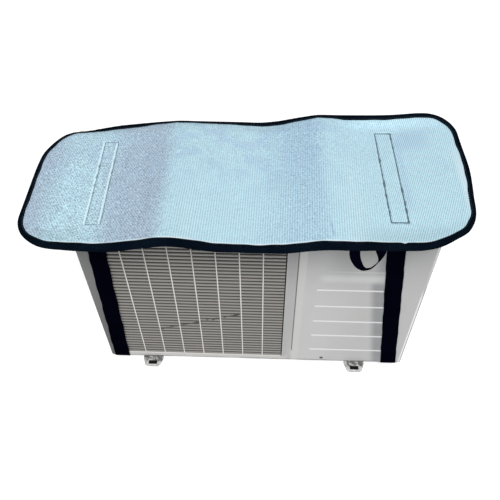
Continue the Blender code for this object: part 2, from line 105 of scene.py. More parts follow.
# Service panel with its pressed lines and its screw, and the corner panel
PANEL_LEFT = JOINT_X + 1.6 * MM
PANEL_RIGHT = UNIT_RIGHT - CORNER_RADIUS
PANEL_BOTTOM = FOOT_HEIGHT + 2 * MM
PANEL_TOP = LID_SEAM_Z - 2 * MM
PANEL_RISE = 1.5 * MM
PANEL_SHOULDER = 0.016
PRESSED_HEIGHTS = (0.0615, 0.1300, 0.1950, 0.2590, 0.3240, 0.3930)
PRESSED_LEFT = MIDDLE_X + 0.142
PRESSED_RIGHT = MIDDLE_X + 0.338
PRESSED_DEPTH = 1.3 * MM
PRESSED_SLOPE = 4.6 * MM
PRESSED_WALL = 2.0 * MM
SCREW_PLACE = (0.1954, 0.0345)
# How far out of the panel the screw's head reaches, and its radius there, in mm
SCREW_PROFILE = ((-0.3, 5.0), (0.3, 5.0), (0.9, 4.3), (1.1, 3.0), (0.9, 1.6), (0.3, 1.2))
CORNER_SHEET = (0.45 * MM, -0.45 * MM)
CORNER_PANEL_BACK = FRONT_Y + 0.055

# Feet
FOOT_MIDDLES = {"left": MIDDLE_X - 0.279, "right": MIDDLE_X + 0.270}
FOOT_HALF = 0.027
FOOT_TAB_HALF = 0.020
FOOT_TAB_REACH = 0.024
FOOT_TAB_CORNER = 0.006
FOOT_PLATE = 3 * MM
RAIL_INSET = 0.010
SLOT_OUT = 0.012
SLOT_HALF = (0.011, 0.005)

# Cover, as in the part
COVER_LENGTH = 0.934
COVER_DEPTH = 0.400
TURN_COS, TURN_SIN = math.cos(math.radians(1.54)), math.sin(math.radians(1.54))
PAD_THICKNESS = 12 * MM
PAD_INSET = 1.5 * MM
TAPE_THICKNESS = 1.2 * MM
TAPE_LAP = 11.5 * MM
TOUCH_GAP = 0.3 * MM
# Corners in order round the cover: size along it, size from front to back, and reach past half its length
CORNERS = {
    "front_left": (0.095, 0.092, 0.0),
    "front_right": (0.125, 0.122, -0.001),
    "back_right": (0.068, 0.068, 0.004),
    "back_left": (0.170, 0.125, 0.0),
}
CORNER_STEPS = 40

# Height of the cover's upper face above the unit's top, in mm: the place along the cover, then the
# height at each place across it
ACROSS_PLACES = (-0.200, -0.135, 0.150, 0.200)
LAY = [
    (-470, 18, 13, 6, -6), (-424, 22, 14, 10, -7), (-384, 25, 15, 14, -5), (-334, 21, 14, 14, -4),
    (-289, 19, 14, 14, 0), (-244, 24, 20, 16, 5), (-204, 31, 28, 21, 9), (-159, 37, 34, 25, 12),
    (-129, 34, 32, 22, 11), (-94, 26, 24, 17, 10), (-54, 19, 18, 15, 9), (-14, 16, 15, 14, 8),
    (21, 14, 14, 14, 7), (66, 15, 16, 18, 11), (96, 19, 20, 23, 17), (126, 24, 25, 28, 23),
    (166, 27, 28, 32, 29), (216, 25, 22, 24, 28), (256, 26, 16, 16, 28), (284, 24, 14, 14, 28),
    (328, 24, 14, 14, 29), (356, 27, 17, 18, 31), (396, 31, 22, 24, 35), (436, 28, 25, 28, 37),
    (470, 24, 26, 30, 36),
]
# Packing creases along the two crests: place along the cover, and how far they stand up
CREASES = [(-0.1675, 1.3 * MM), (0.1650, 1.1 * MM)]
FRONT_CREASE = 0.1665
# Stitched rectangles that hold the straps: left, right, front and back, on the cover
ANCHORS = {
    "left": (-0.326, -0.296, -0.134, 0.119),
    "right": (0.289, 0.324, -0.129, 0.149),
}
# Each rectangle's thread: stitch length and radius
ANCHOR_THREADS = {"left": (1.9 * MM, 0.60 * MM), "right": (4.5 * MM, 0.90 * MM)}
# How far the binding's lower lap sags at the front, in mm: place along the cover, then the sag
FRONT_SAGS = [
    (-450, -0.8), (-400, 0), (-300, 1.5), (-260, 3), (-150, 3), (-60, 2.2), (-20, 0.2),
    (30, 0), (70, 2.5), (200, 3.2), (270, 2.8), (330, 1.5), (400, 1), (450, -0.8),
]
# How far the binding laps over the back edge, in mm: place along the cover, then the lap
BACK_LAPS = [
    (-470, 10.5), (-405, 11), (-378, 20), (-345, 27), (-300, 27), (-270, 24), (-215, 15),
    (-100, 11), (-20, 15), (40, 19), (100, 18.5), (160, 13.5), (220, 16.5), (300, 13.5), (470, 13.5),
]
# Where the sewn edge strays from its plain outline: place along and across, reach each way, and the
# shift along, across and up, in mm
STRAYS = [
    (-385, 185, 50, 60, 0, -5, -3), (-350, 176, 55, 18, 0, 0, -2.5),
    (45, 180, 60, 18, 0, 0, -2.5), (425, 185, 30, 50, 0, -3.5, 0),
    (470, 50, 50, 60, 3, 0, 0), (472, 5, 40, 45, 3, 0, 0),
    (470, -90, 50, 35, -3.5, 0, 0), (440, -185, 40, 25, 0, 4, 0),
    (412, -185, 30, 25, 0, 3.5, 0), (-440, -180, 40, 30, 0.5, 3.5, 0),
    (-455, 115, 45, 50, 5, -3, 0),
]
FACE_STEP = 4.2 * MM
FACE_END = 0.440
SEAM_REACH = 6 * MM
SEAM_STEP = 1.2 * MM
RING_STEP = 3.2 * MM
ROUGH_STEP = 8 * MM

# Straps: the middle of each across the unit at three heights, where it leaves the cover, and its sway
STRAP_WIDTH = 0.040
STRAP_THICKNESS = 1.4 * MM
STRAP_STAND_OFF = 2 * MM
STRAP_BEND = 0.007
STRAP_EASE = 0.060
STRAP_EASE_DROP = 0.110
STRAP_LEVELS = (0.0, 0.400, CASE_HEIGHT)
STRAPS = {
    "left": {"across": (-0.3615, -0.3450, -0.3310), "front": -0.138, "back": 0.1427, "sway": 0.8 * MM},
    "right": {"across": (0.3590, 0.3086, 0.2910), "front": -0.1232, "back": 0.155, "sway": 0.45 * MM},
}

# Hanging loop, in mm from its left end at the binding: the tape's middle, then half its width
LOOP_START_X = MIDDLE_X + 0.1992
LOOP_START_Y = FRONT_Y - 0.0680
LOOP_THICKNESS = 1.1 * MM
LOOP_TOP_CLEARANCE = 0.6 * MM
LOOP_STEPS = 110
LOOP_COLUMNS = ("across", "back", "down", "half_x", "half_y", "half_z")
LOOP = [
    (-0.8, 0, 0, 10.4, 0, 0), (-0.4, 0, 12, 10.8, 0.8, -0.4), (2, 0.2, 26, 10.9, 1.6, -1),
    (9.4, 0.5, 46, 10, 3.6, -2.4), (17.6, 1, 59.6, 7.3, 6.8, -4), (27.6, 1.5, 66.2, 4.2, 8, -5.9),
    (36.2, 2, 64.4, 2.8, 8, -6.6), (43.4, 2, 55.5, 2.2, 7.8, -7), (48.6, 2, 45, 2, 7.3, -7.4),
    (51.4, 1.5, 33, -0.8, 7.2, -7.6), (51.6, 1, 21, -5.2, 5.6, -6.4), (50.4, 0.4, 10.5, -9, 2.6, -3.2),
    (49.4, 0, 0, -11.2, 0, 0),
]

# Tints of the foil face, painted shade and painted highlights among them
FOIL_BRIGHT, FOIL_SHADED, FOIL_FLANK_SHADE = (0.545, 0.80, 0.91), (0.43, 0.55, 0.68), (0.43, 0.635, 0.79)
FOIL_CREST_HIGHLIGHT, FOIL_BRUISE, FOIL_CREASE_SHADE = (0.66, 0.88, 0.96), (0.43, 0.61, 0.81), (0.26, 0.40, 0.62)
FOIL_RIM_HIGHLIGHT, FOIL_LIP_HIGHLIGHT, FOIL_SEAM_SHADE = (0.78, 0.93, 0.99), (0.74, 0.94, 1.0), (0.055, 0.115, 0.155)
FOIL_CELL = 2.3 * MM
# Along each stitched rectangle: how strong the painted highlight beside it is, how dark the painted shade in
# its seam, and how much that shade breaks
SEWN_SHARES = {"left": (1.0, 0.72, 0.60), "right": (0.22, 0.88, 0.20)}
# Tints of the case, painted shade and painted highlights among them
RECESS_SHADE, BASE_SHADOW, TURNED_EDGE_SHADE = (0.060, 0.050, 0.040), (0.025, 0.022, 0.020), (0.09, 0.09, 0.09)
FLANGE_PALE, EDGE_HIGHLIGHT, WIPED_PALE = (0.43, 0.415, 0.39), (0.78, 0.78, 0.79), (0.62, 0.63, 0.63)
SHOULDER_HIGHLIGHT, STRAP_SHADOW_GREY = (0.50, 0.50, 0.475), (0.155, 0.165, 0.175)
UPWARD_HIGHLIGHT, DOWNWARD_SHADE = (0.64, 0.64, 0.64), (0.12, 0.12, 0.12)
# Tints of the feet and the louvres, painted shade among them
FOOT_SHADE_AND_SOOT, FOOT_BARE = (0.045, 0.040, 0.036), (0.24, 0.24, 0.235)
FOOT_RIM, SLOT_SHADE = (0.16, 0.16, 0.16), (0.012, 0.012, 0.012)
LOUVRE_WARM, LOUVRE_COOL = (0.240, 0.212, 0.196), (0.212, 0.222, 0.207)
LOUVRE_SHADE, STREAK_DARK = (0.030, 0.027, 0.024), (0.035, 0.030, 0.030)


# ---------------------------------------------------------------- finishes


def operator(operation, reflected=False):
    """An operator for Value, which adds one Math node."""

    def joined(self, *others):
        values = (*others, self) if reflected else (self, *others)
        return self.finish.node("ShaderNodeMath", {"operation": operation}, dict(enumerate(values)))

    return joined


class Value:
    """A socket of a finish's nodes, joined to others by plain arithmetic."""

    def __init__(self, finish, socket):
        self.finish = finish
        self.socket = socket

    __add__, __radd__ = operator("ADD"), operator("ADD", True)
    __sub__, __rsub__ = operator("SUBTRACT"), operator("SUBTRACT", True)
    __mul__, __rmul__ = operator("MULTIPLY"), operator("MULTIPLY", True)
    __truediv__, __rtruediv__ = operator("DIVIDE"), operator("DIVIDE", True)
    __abs__, floor, sine, most = (operator(name) for name in ("ABSOLUTE", "FLOOR", "SINE", "MAXIMUM"))

    def step(self, low, high):
        """0 below low and 1 above high, with a smooth rise between them."""
        sockets = {"Value": self, "From Min": low, "From Max": high}
        return self.finish.node("ShaderNodeMapRange", {"interpolation_type": "SMOOTHSTEP"}, sockets)

    def fall(self, low, high):
        """1 below low and 0 above high."""
        return 1 - self.step(low, high)

    def within(self, low, high, soft):
        """1 between two limits and 0 beyond them, with soft ends."""
        return self.step(low - soft, low + soft) * self.fall(high - soft, high + soft)

    def wave(self, period):
        """A level wave from 0 to 1."""
        return (self * (2 * math.pi / period)).sine() * 0.5 + 0.5


class Finish:
    """A material: one shader with its constants set and its patterns as sums."""

    def __init__(self, name, **constants):
        self.material = bpy.data.materials.new(name)
        self.material.use_nodes = True
        self.tree = self.material.node_tree
        self.shader = self.tree.nodes["Principled BSDF"]
        for socket, value in constants.items():
            self.shader.inputs[socket.replace("_", " ")].default_value = value

    def node(self, kind, settings, sockets, output=0):
        """Add a node: its settings first, then a value or a link for each socket."""
        made = self.tree.nodes.new(kind)
        for setting, value in settings.items():
            setattr(made, setting, value)
        for key, value in sockets.items():
            if isinstance(value, Value):
                self.tree.links.new(value.socket, made.inputs[key])
            else:
                made.inputs[key].default_value = value
        return Value(self, made.outputs[output])

    def feed(self, **values):
        """Join values to the shader's own sockets and give the finished material."""
        for socket, value in values.items():
            self.tree.links.new(value.socket, self.shader.inputs[socket.replace("_", " ")])
        return self.material

    def parts(self, vector):
        return [self.node("ShaderNodeSeparateXYZ", {}, {0: vector}, axis) for axis in range(3)]

    def place(self):
        """The three coordinates of a point in the part's frame, in metres."""
        return self.parts(self.node("ShaderNodeTexCoord", {}, {}, output=3))

    def vector(self, x, y, z):
        return self.node("ShaderNodeCombineXYZ", {}, {0: x, 1: y, 2: z})

    def cloud(self, size, detail=2.0, roughness=0.5, stretch=(1, 1, 1)):
        """Soft noise from 0 to 1 with blotches of about the size given, in metres."""
        point = self.vector(*(value / (size * share) for value, share in zip(self.place(), stretch)))
        sockets = {"Vector": point, "Scale": 1.0, "Detail": detail, "Roughness": roughness}
        return self.node("ShaderNodeTexNoise", {}, sockets)

    def chance(self, x, y):
        """A fixed random number from 0 to 1 for each whole place."""
        sockets = {"Vector": self.vector(x, y, 0.0)}
        return self.node("ShaderNodeTexWhiteNoise", {"noise_dimensions": "3D"}, sockets)

    def blend(self, share, first, second):
        """The first colour where share is 0, the second where it is 1."""
        colours = [value if isinstance(value, Value) else (*value, 1.0) for value in (first, second)]
        sockets = {0: share, 6: colours[0], 7: colours[1]}
        return self.node("ShaderNodeMix", {"data_type": "RGBA"}, sockets, output=2)

    def layered(self, colour, *layers):
        """A colour under further ones, each laid on with its own share."""
        for share, over in layers:
            colour = self.blend(share, colour, over)
        return colour

    def scale(self, colour, factor):
        """A colour made lighter or darker by a factor."""
        return self.node("ShaderNodeVectorMath", {"operation": "SCALE"}, {0: colour, "Scale": factor})

    def relief(self, height, depth, **under):
        """A normal for a height from 0 to 1 that stands for so many metres."""
        sockets = {"Height": height, "Distance": depth, "Strength": 1.0, **under}
        return self.node("ShaderNodeBump", {}, sockets)


def foil_finish():
    """Foil face over a fine woven grid, with painted shade on the flank before each packing crease, at the
    left end, towards the back, in a small front crease and in the seams, and painted highlights on the
    crests, along the rims and beside the stitched rectangles.
    """
    finish = Finish("foil_face", Sheen_Weight=0.05, Sheen_Roughness=0.4)
    x, y, _ = finish.place()
    along = x * TURN_COS + y * TURN_SIN
    across = y * TURN_COS - x * TURN_SIN
    # Zones of the face
    left = along.fall(-0.21, -0.13)
    right = along.step(0.24, 0.31)
    middle = (1 - left) * (1 - right)
    far_left = along.fall(-0.475, -0.375)
    left_flank = along.step(-0.335, -0.265) * 0.78 + along.step(-0.255, -0.205) * 0.22
    left_flank = left_flank * along.fall(-0.205, -0.152)
    right_flank = along.step(-0.010, 0.125) * along.fall(0.140, 0.182)
    backward = across.step(-0.05, 0.15)
    # Ribs, which slant another way in each third, and the grain over them
    patches = finish.cloud(0.085, 3.0)
    sparkle = finish.cloud(3.4 * MM, 1.0, 0.6)
    fine = finish.chance((along / FOIL_CELL).floor(), (across / FOIL_CELL).floor()) - 0.5
    left_ribs = (along + across * 0.57 + (sparkle - 0.5) * 2 * MM).wave(5.5 * MM) - 0.5
    middle_ribs = (along - across * 0.05).wave(4.9 * MM) - 0.5
    right_ribs = (along - across * 0.37).wave(4.55 * MM) - 0.5
    ribs = left_ribs * left * 0.7 + middle_ribs * middle * (0.85 - backward * 0.45) + right_ribs * right * 1.1
    coarse = 0.55 + left * 1.15 + right_flank * 0.55 + middle * backward * 0.5
    grain = (sparkle - 0.5) * coarse + fine * (0.20 + left * 0.26 + right_flank * 0.12)
    # Shares of the tints
    # Painted shade on the flank before each crest, at the left end and towards the back, mixed with random
    # patches
    shade_and_patches = left_flank * (0.74 - across.step(0.02, 0.19) * 0.30) + far_left * 0.75 + left * 0.20
    shade_and_patches = shade_and_patches + (patches - 0.5) * 0.5 + across.step(-0.10, 0.22) * 0.12 - grain * 0.5
    # Painted shade on the flank before the right crest
    flank = right_flank * (0.62 + across.step(-0.16, 0.10) * 0.25 - grain * 0.5)
    # Painted highlights along the two crests
    crests = along.within(-0.125, -0.105, 0.022) + along.within(0.200, 0.235, 0.025)
    bruise = along.within(0.338, 0.398, 0.018) * across.within(0.088, 0.150, 0.018) * sparkle.step(0.35, 0.60)
    bruise = bruise * 0.8 + along.within(0.328, 0.340, 6 * MM) * across.within(-0.085, 0.130, 0.020) * 0.45
    cool = finish.cloud(0.045, 2.0).step(0.46, 0.60) * across.step(-0.12, 0.10) * (1 - far_left)
    cool = cool * (1 - along.step(0.14, 0.22) * 0.75) * (0.42 - left * 0.15)
    # Painted shade in the small crease at the front of the right crest
    front_crease_shade = (along + (across + 0.155) * 0.10).within(0.1655, 0.1690, 1.6 * MM)
    front_crease_shade = front_crease_shade * across.within(-0.176, -0.134, 9 * MM)
    # Painted highlights along the front rim and at the right end
    front_rim_highlight = (across + COVER_DEPTH / 2).fall(TAPE_LAP + 2.0 * MM, TAPE_LAP + 5.5 * MM)
    front_rim_highlight = front_rim_highlight * (0.45 + patches * 0.8)
    right_rim_highlight = along.step(0.440, 0.452) * across.fall(0.0, 0.14) * 0.55
    lips, seam_shades = sewn_marks(finish, along, across)

    colour = finish.layered(
        finish.blend(shade_and_patches.step(-0.15, 1.0), FOIL_BRIGHT, FOIL_SHADED),
        (flank, FOIL_FLANK_SHADE),
        (crests * across.fall(-0.10, 0.16) * 0.30, FOIL_CREST_HIGHLIGHT),
        (bruise.most(cool), FOIL_BRUISE),
    )
    colour = finish.layered(
        finish.scale(colour, 1 + grain * 0.75 + ribs * 0.36),
        (front_crease_shade * 0.55, FOIL_CREASE_SHADE),
        (right_rim_highlight.most(front_rim_highlight), FOIL_RIM_HIGHLIGHT),
        (lips * (0.88 + grain * 0.4), FOIL_LIP_HIGHLIGHT),
        (seam_shades, FOIL_SEAM_SHADE),
    )
    return finish.feed(
        Base_Color=colour,
        Metallic=(0.22 + fine * 0.2) * (1 - lips * 0.8),
        Roughness=0.44 + fine * 0.2,
        Normal=finish.relief(sparkle + fine * 0.3, 0.30 * MM, Normal=finish.relief(ribs + 0.5, 0.20 * MM)),
    )


def sewn_marks(finish, along, across):
    """Painted highlights beside the stitched rectangles, and painted shade in their seams."""
    wander = (finish.cloud(0.016, 1.0) - 0.5) * 2.4 * MM
    broken = finish.cloud(5 * MM, 1.0).step(0.40, 0.52)
    blots = finish.cloud(0.018, 1.0).step(0.52, 0.66)
    lips = seam_shades = 0
    for anchor, (lip_highlight_share, seam_shade_share, gaps) in SEWN_SHARES.items():
        left, right, front, back = ANCHORS[anchor]
        from_middle = along - (left + right) / 2
        beside = abs(from_middle) - (right - left) / 2
        beyond = abs(across - (front + back) / 2) - (back - front) / 2
        # Painted highlight on the lip beside each stitched line, and painted shade in its seam
        lip = abs(abs(from_middle + wander * 0.3 + 2.9 * MM) - (right - left) / 2).fall(0.5 * MM, 2.9 * MM)
        seam_shade = (abs(beside.most(beyond) + wander * 0.4) - blots * 1.5 * MM).fall(0.6 * MM, 1.8 * MM)
        seam_shade = seam_shade * (1 - gaps * broken) * (1 - (beyond + MM).step(0, 1.5 * MM) * 0.45)
        lips = lips + lip * beyond.fall(0, MM) * lip_highlight_share
        seam_shades = seam_shades + seam_shade * seam_shade_share
    return lips, seam_shades


def tape_finish(name, colour, light, rib, across_axis):
    """Woven tape: close ribs with a twill between them, and lint that catches the light."""
    finish = Finish(name, Specular_IOR_Level=0.0)
    places = finish.place()
    ribs = places[across_axis].wave(rib)
    twill = (places[2] + places[2 if across_axis == 0 else 0] + places[1]).wave(rib * 1.6)
    lint = finish.cloud(3 * MM, 4.0, 0.7)
    worn = finish.cloud(0.05, 3.0)
    return finish.feed(
        Base_Color=finish.blend((lint - 0.35) * 0.5 + (worn - 0.5) * 0.5 + ribs * 0.2, colour, light),
        Roughness=0.74 + lint * 0.2,
        Normal=finish.relief(ribs * 0.7 + twill * 0.3 + lint * 0.4, 0.22 * MM),
    )


def thread_finish(name, colour, light):
    """Twisted sewing thread."""
    finish = Finish(name, Roughness=0.6, Sheen_Weight=0.2)
    x, y, z = finish.place()
    twist = (x + y + z).wave(0.8 * MM)
    return finish.feed(Base_Color=finish.blend(twist, colour, light), Normal=finish.relief(twist, 0.1 * MM))


def paint_finish(name, colour, dusty, marks=None):
    """Powder coat: a fine pebbled skin with dust, faint runs of rain dirt, and marks of its own."""
    finish = Finish(name, Specular_IOR_Level=0.35)
    dust = finish.cloud(0.16, 4.0, 0.6)
    runs = finish.cloud(0.020, 3.0, stretch=(1, 1, 14))
    specks = finish.cloud(2.2 * MM, 2.0)
    grime = (dust - 0.45) * 0.7 + (runs - 0.5) * 0.35 + specks.step(0.70, 0.78) * 0.3
    shade = finish.blend(grime.step(-0.1, 1.0), colour, dusty)
    return finish.feed(
        Base_Color=marks(finish, shade, *finish.place()) if marks else shade,
        Roughness=0.42 + dust * 0.2,
        Normal=finish.relief(finish.cloud(1.6 * MM, 1.0), 0.03 * MM),
    )


def case_marks(finish, shade, x, y, z):
    """Painted shade in the recess and joints, under the cover, on faces turned down and where the right edge
    turns; a pale base flange over a painted shadow line; painted highlights on the right edge, the shoulder
    and faces turned up; and the painted shadow of the right strap and the loop.
    """
    front = y.fall(FRONT_Y + 0.5 * MM, FRONT_Y + 1.0 * MM)
    face = x.within(UNIT_LEFT + 8 * MM, UNIT_RIGHT - 8 * MM, MM)
    face = face * z.within(FOOT_HEIGHT + 4 * MM, LID_SEAM_Z, MM)
    # Painted shade in the grille recess and the joint grooves
    sunk = face * y.within(FRONT_Y + 1.0 * MM, FRONT_Y + 0.020, 0.3 * MM)
    # Painted shade below the cover, darker towards the top
    shade_below_cover = z.step(0.30, 0.56) * (0.35 - x.step(0.29, 0.36) * 0.08) * face
    frame_strip = x.within(GRILLE_RIGHT + MM, JOINT_X - MM, 1.5 * MM) * front
    flange = z.within(FOOT_HEIGHT + 3.5 * MM, GRILLE_BOTTOM, MM) * x.fall(GRILLE_RIGHT, GRILLE_RIGHT + 0.02)
    scraped = finish.cloud(0.06, 2.0).step(0.35, 0.6)
    # Painted shadow line along the base, broken by noise
    bottom = z.fall(FOOT_HEIGHT + 2.6 * MM, FOOT_HEIGHT + 4.4 * MM) * (0.35 + scraped * 0.65)
    # Painted highlight along the rounded right edge
    edge = x.within(UNIT_RIGHT - 8.5 * MM, UNIT_RIGHT - 3.6 * MM, MM) * z.fall(0.30, 0.36)
    # Painted shade where the right edge turns away
    turned = x.step(UNIT_RIGHT - 4.0 * MM, UNIT_RIGHT - 3.3 * MM) * z.fall(0.34, 0.37)
    turned = turned * y.fall(FRONT_Y + CORNER_RADIUS, FRONT_Y + CORNER_RADIUS + MM)
    # Painted highlight on the panel's shoulder right of the joint
    shoulder = x.within(JOINT_X + 3 * MM, JOINT_X + 0.018, 4 * MM) * front
    # The painted shadow beside the right strap leans a little, and goes on above in a narrower run, the
    # painted shadow of the loop
    smear = (finish.cloud(0.035, 2.0, stretch=(1, 1, 0.35)) - 0.5) * 0.5
    past = x + (z - 0.357) * 0.14
    strap_and_loop_shadow = past.step(0.274, 0.296) * past.fall(0.322, 0.335) * z.fall(0.355, 0.385)
    strap_and_loop_shadow = strap_and_loop_shadow.most(x.step(0.276, 0.302) * x.fall(0.312, 0.330) * z.step(0.385, 0.425) * 0.9)
    wiped = front * x.within(0.170, 0.300, 0.016) * z.within(0.372, 0.396, 0.010)
    # Painted highlight on faces turned up and painted shade on faces turned down
    tilt = finish.parts(finish.node("ShaderNodeNewGeometry", {}, {}, output=1))[2] * front

    shade = finish.blend(sunk * 0.75, shade, RECESS_SHADE)
    shade = finish.layered(
        finish.scale(shade, 1 - shade_below_cover - frame_strip * 0.20),
        (flange * front * 0.7, FLANGE_PALE),
        (bottom * 0.90, BASE_SHADOW),
        (edge * 0.8, EDGE_HIGHLIGHT),
        (turned * 0.90, TURNED_EDGE_SHADE),
    )
    return finish.layered(
        finish.scale(shade, 1 - x.step(0.16, 0.30) * front * 0.08),
        (shoulder * 0.40, SHOULDER_HIGHLIGHT),
        (strap_and_loop_shadow * front * (0.86 + smear * 0.6) * 0.85, STRAP_SHADOW_GREY),
        (wiped * 0.30, WIPED_PALE),
        (tilt.step(0.05, 0.24) * 0.76, UPWARD_HIGHLIGHT),
        ((0 - tilt).step(0.10, 0.50) * 0.55, DOWNWARD_SHADE),
    )


def corner_marks(finish, shade, x, y, z):
    """Darker towards the base."""
    return finish.scale(shade, 1 - z.fall(0.05, 0.45) * 0.42)


def rib_marks(finish, shade, x, y, z):
    """Painted shade that darkens the ribs below the cover."""
    return finish.scale(shade, 1 - z.step(0.33, 0.54) * 0.50)


def foot_marks(finish, shade, x, y, z):
    """Bare steel, darkened in patches towards the case by painted shade and soot, with painted shade in its
    slots and dark along its rims.
    """
    # Painted shade and soot towards the case, in patches
    near = y.step(FRONT_Y - 0.013, FRONT_Y - 0.005) * y.fall(BACK_Y, BACK_Y + 0.01)
    patches = finish.cloud(9 * MM, 2.0, 0.6).step(0.42, 0.56)
    mottled = finish.cloud(6 * MM, 1.0).step(0.45, 0.60)
    rim = z.fall(FOOT_PLATE - 0.9 * MM, FOOT_PLATE - 0.5 * MM)
    out = abs(y - (FRONT_Y + BACK_Y) / 2) - (BACK_Y - FRONT_Y) / 2 - SLOT_OUT
    wall = (0.3 * MM, 0.8 * MM)
    # Painted shade in the slots
    slots = sum((abs(x - middle) - SLOT_HALF[0]).fall(*wall) for middle in FOOT_MIDDLES.values())
    return finish.layered(
        shade,
        (near * (0.10 + patches * 0.75), FOOT_SHADE_AND_SOOT),
        (mottled * 0.45, FOOT_BARE),
        (rim * 0.8, FOOT_RIM),
        (slots * (abs(out) - SLOT_HALF[1]).fall(*wall), SLOT_SHADE),
    )


def louvre_finish():
    """Moulded louvres, warm grey with uneven dust, painted shade deeper between them, and one dark streak
    slanting over them.
    """
    finish = Finish("louvre_plastic", Specular_IOR_Level=0.3)
    x, y, z = finish.place()
    dust = finish.cloud(0.045, 4.0, 0.65, stretch=(1.6, 1, 0.6))
    low_down = z.fall(0.05, 0.34)
    # Painted shade deeper in the gaps between the louvres
    deep_shade = (y - FRONT_Y + low_down * 0.55 * MM).step(2.3 * MM, 4.6 * MM)
    # A dark slanting streak over the louvres, broken in gaps
    wobble = (finish.cloud(0.012, 2.0) - 0.5) * 8 * MM
    reach = (x.step(-0.210, -0.110) * 0.3 + 0.7) * x.within(-0.225, -0.020, 0.006)
    gaps = finish.cloud(0.022, 1.0).step(0.24, 0.44)
    streak = abs(z + wobble - (0.189 + (x + 0.120) * 0.370)).fall(1.8 * MM, 4.6 * MM) * reach * gaps * 0.95
    tint = finish.scale(finish.blend(dust, LOUVRE_WARM, LOUVRE_COOL), 1 + low_down * 0.16)
    return finish.feed(
        Base_Color=finish.layered(tint, (deep_shade * 0.86, LOUVRE_SHADE), (streak, STREAK_DARK)),
        Roughness=0.50 + dust * 0.25,
        Normal=finish.relief(finish.cloud(1.2 * MM, 2.0), 0.04 * MM),
    )


def coil_finish():
    """Dark fins behind the grille."""
    finish = Finish("coil_fins", Roughness=0.7)
    fins = finish.place()[0].wave(2.0 * MM)
    return finish.feed(
        Base_Color=finish.blend(fins, (0.010, 0.010, 0.010), (0.045, 0.043, 0.040)),
        Normal=finish.relief(fins, 0.5 * MM),
    )


def floor_finish():
    """Pale studio floor, with painted shadow under each front foot slot."""
    finish = Finish("pale_floor", Roughness=0.9, Specular_IOR_Level=0.1, Emission_Strength=0.18)
    x, y, _ = finish.place()
    shade = finish.blend(finish.cloud(0.4, 2.0), (0.93, 0.93, 0.93), (0.95, 0.95, 0.95))
    half_x, half_y = SLOT_HALF[0] + 2 * MM, SLOT_HALF[1] + 2 * MM
    at_slot = FRONT_Y - SLOT_OUT
    # Painted shadow on the floor under each front foot slot, without the floor's glow
    slot_shadows = sum(x.within(middle - half_x, middle + half_x, MM) for middle in FOOT_MIDDLES.values())
    slot_shadows = slot_shadows * y.within(at_slot - half_y, at_slot + half_y + 2 * MM, MM)
    return finish.feed(
        Base_Color=finish.blend(slot_shadows, shade, (0.01, 0.01, 0.01)),
        Emission_Color=finish.blend(slot_shadows, (1.0, 1.0, 1.0), (0.0, 0.0, 0.0)),
    )


# Every finish by name
FINISHES = {
    "foil": foil_finish(),
    "binding": tape_finish("binding_weave", (0.0010, 0.0028, 0.0060), (0.008, 0.016, 0.028), 1.1 * MM, 2),
    "webbing": tape_finish("webbing_weave", (0.0004, 0.0005, 0.0024), (0.0028, 0.0028, 0.010), 1.5 * MM, 2),
    "loop": tape_finish("loop_weave", (0.0006, 0.0008, 0.0036), (0.004, 0.004, 0.013), 1.0 * MM, 0),
    "dark_thread": thread_finish("dark_thread", (0.040, 0.080, 0.110), (0.095, 0.150, 0.190)),
    "black_thread": thread_finish("black_thread", (0.010, 0.012, 0.018), (0.035, 0.038, 0.05)),
    "case": paint_finish("case_paint", (0.420, 0.420, 0.418), (0.345, 0.345, 0.339), case_marks),
    "corner": paint_finish("corner_paint", (0.140, 0.140, 0.140), (0.098, 0.098, 0.098), corner_marks),
    "rib": paint_finish("rib_plastic", (0.58, 0.565, 0.54), (0.46, 0.44, 0.42), rib_marks),
    "foot": paint_finish("foot_paint", (0.56, 0.56, 0.55), (0.38, 0.375, 0.365), foot_marks),
    "screw": paint_finish("screw_steel", (0.06, 0.06, 0.06), (0.03, 0.03, 0.03)),
    "louvre": louvre_finish(),
    "coil": coil_finish(),
    "floor": floor_finish(),
}


# ---------------------------------------------------------------- mesh helpers


def add_object(name, data):
    """Put data into the scene as an object."""
    made = bpy.data.objects.new(name, data)
    bpy.context.scene.collection.objects.link(made)
    return made


def make_mesh(name, builder):
    """Turn a bmesh into a mesh."""
    mesh = bpy.data.meshes.new(name)
    builder.to_mesh(mesh)
    builder.free()
    return mesh


def finish_piece(name, builder, finish, node=None, sharp=True):
    """Turn a bmesh into a piece that rides on the part and may stand for one of its nodes."""
    bmesh.ops.recalc_face_normals(builder, faces=builder.faces)
    mesh = make_mesh(name, builder)
    mesh.shade_smooth()
    if sharp:
        mesh.set_sharp_from_angle(angle=SHARP_ANGLE)
    mesh.materials.append(FINISHES[finish])
    piece = add_object(name, mesh)
    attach(piece, BODY)
    if node:
        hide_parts(node)
    return piece


def join_rims(builder, first, second):
    """A wall of faces between two equal rings of verts."""
    for index in range(len(first)):
        after = (index + 1) % len(first)
        builder.faces.new((first[index], second[index], second[after], first[after]))


def skin(rings, closed_along=False, builder=None):
    """Skin a row of equal rings of points, joined end to end or capped at both ends."""
    builder = builder or bmesh.new()
    rows = [[builder.verts.new(point) for point in ring] for ring in rings]
    for near, far in zip(rows, rows[1:] + rows[:1] if closed_along else rows[1:]):
        join_rims(builder, near, far)
    if not closed_along:
        builder.faces.new(rows[0])
        builder.faces.new(rows[-1][::-1])
    return builder


def grid_sheet(builder, grid):
    """Faces over a grid of points, and the verts round its rim."""
    rows = [[builder.verts.new(point) for point in line] for line in grid]
    for near, far in zip(rows, rows[1:]):
        for index in range(len(near) - 1):
            builder.faces.new((near[index], near[index + 1], far[index + 1], far[index]))
    return rows[0] + [row[-1] for row in rows[1:-1]] + rows[-1][::-1] + [row[0] for row in rows[-2:0:-1]]


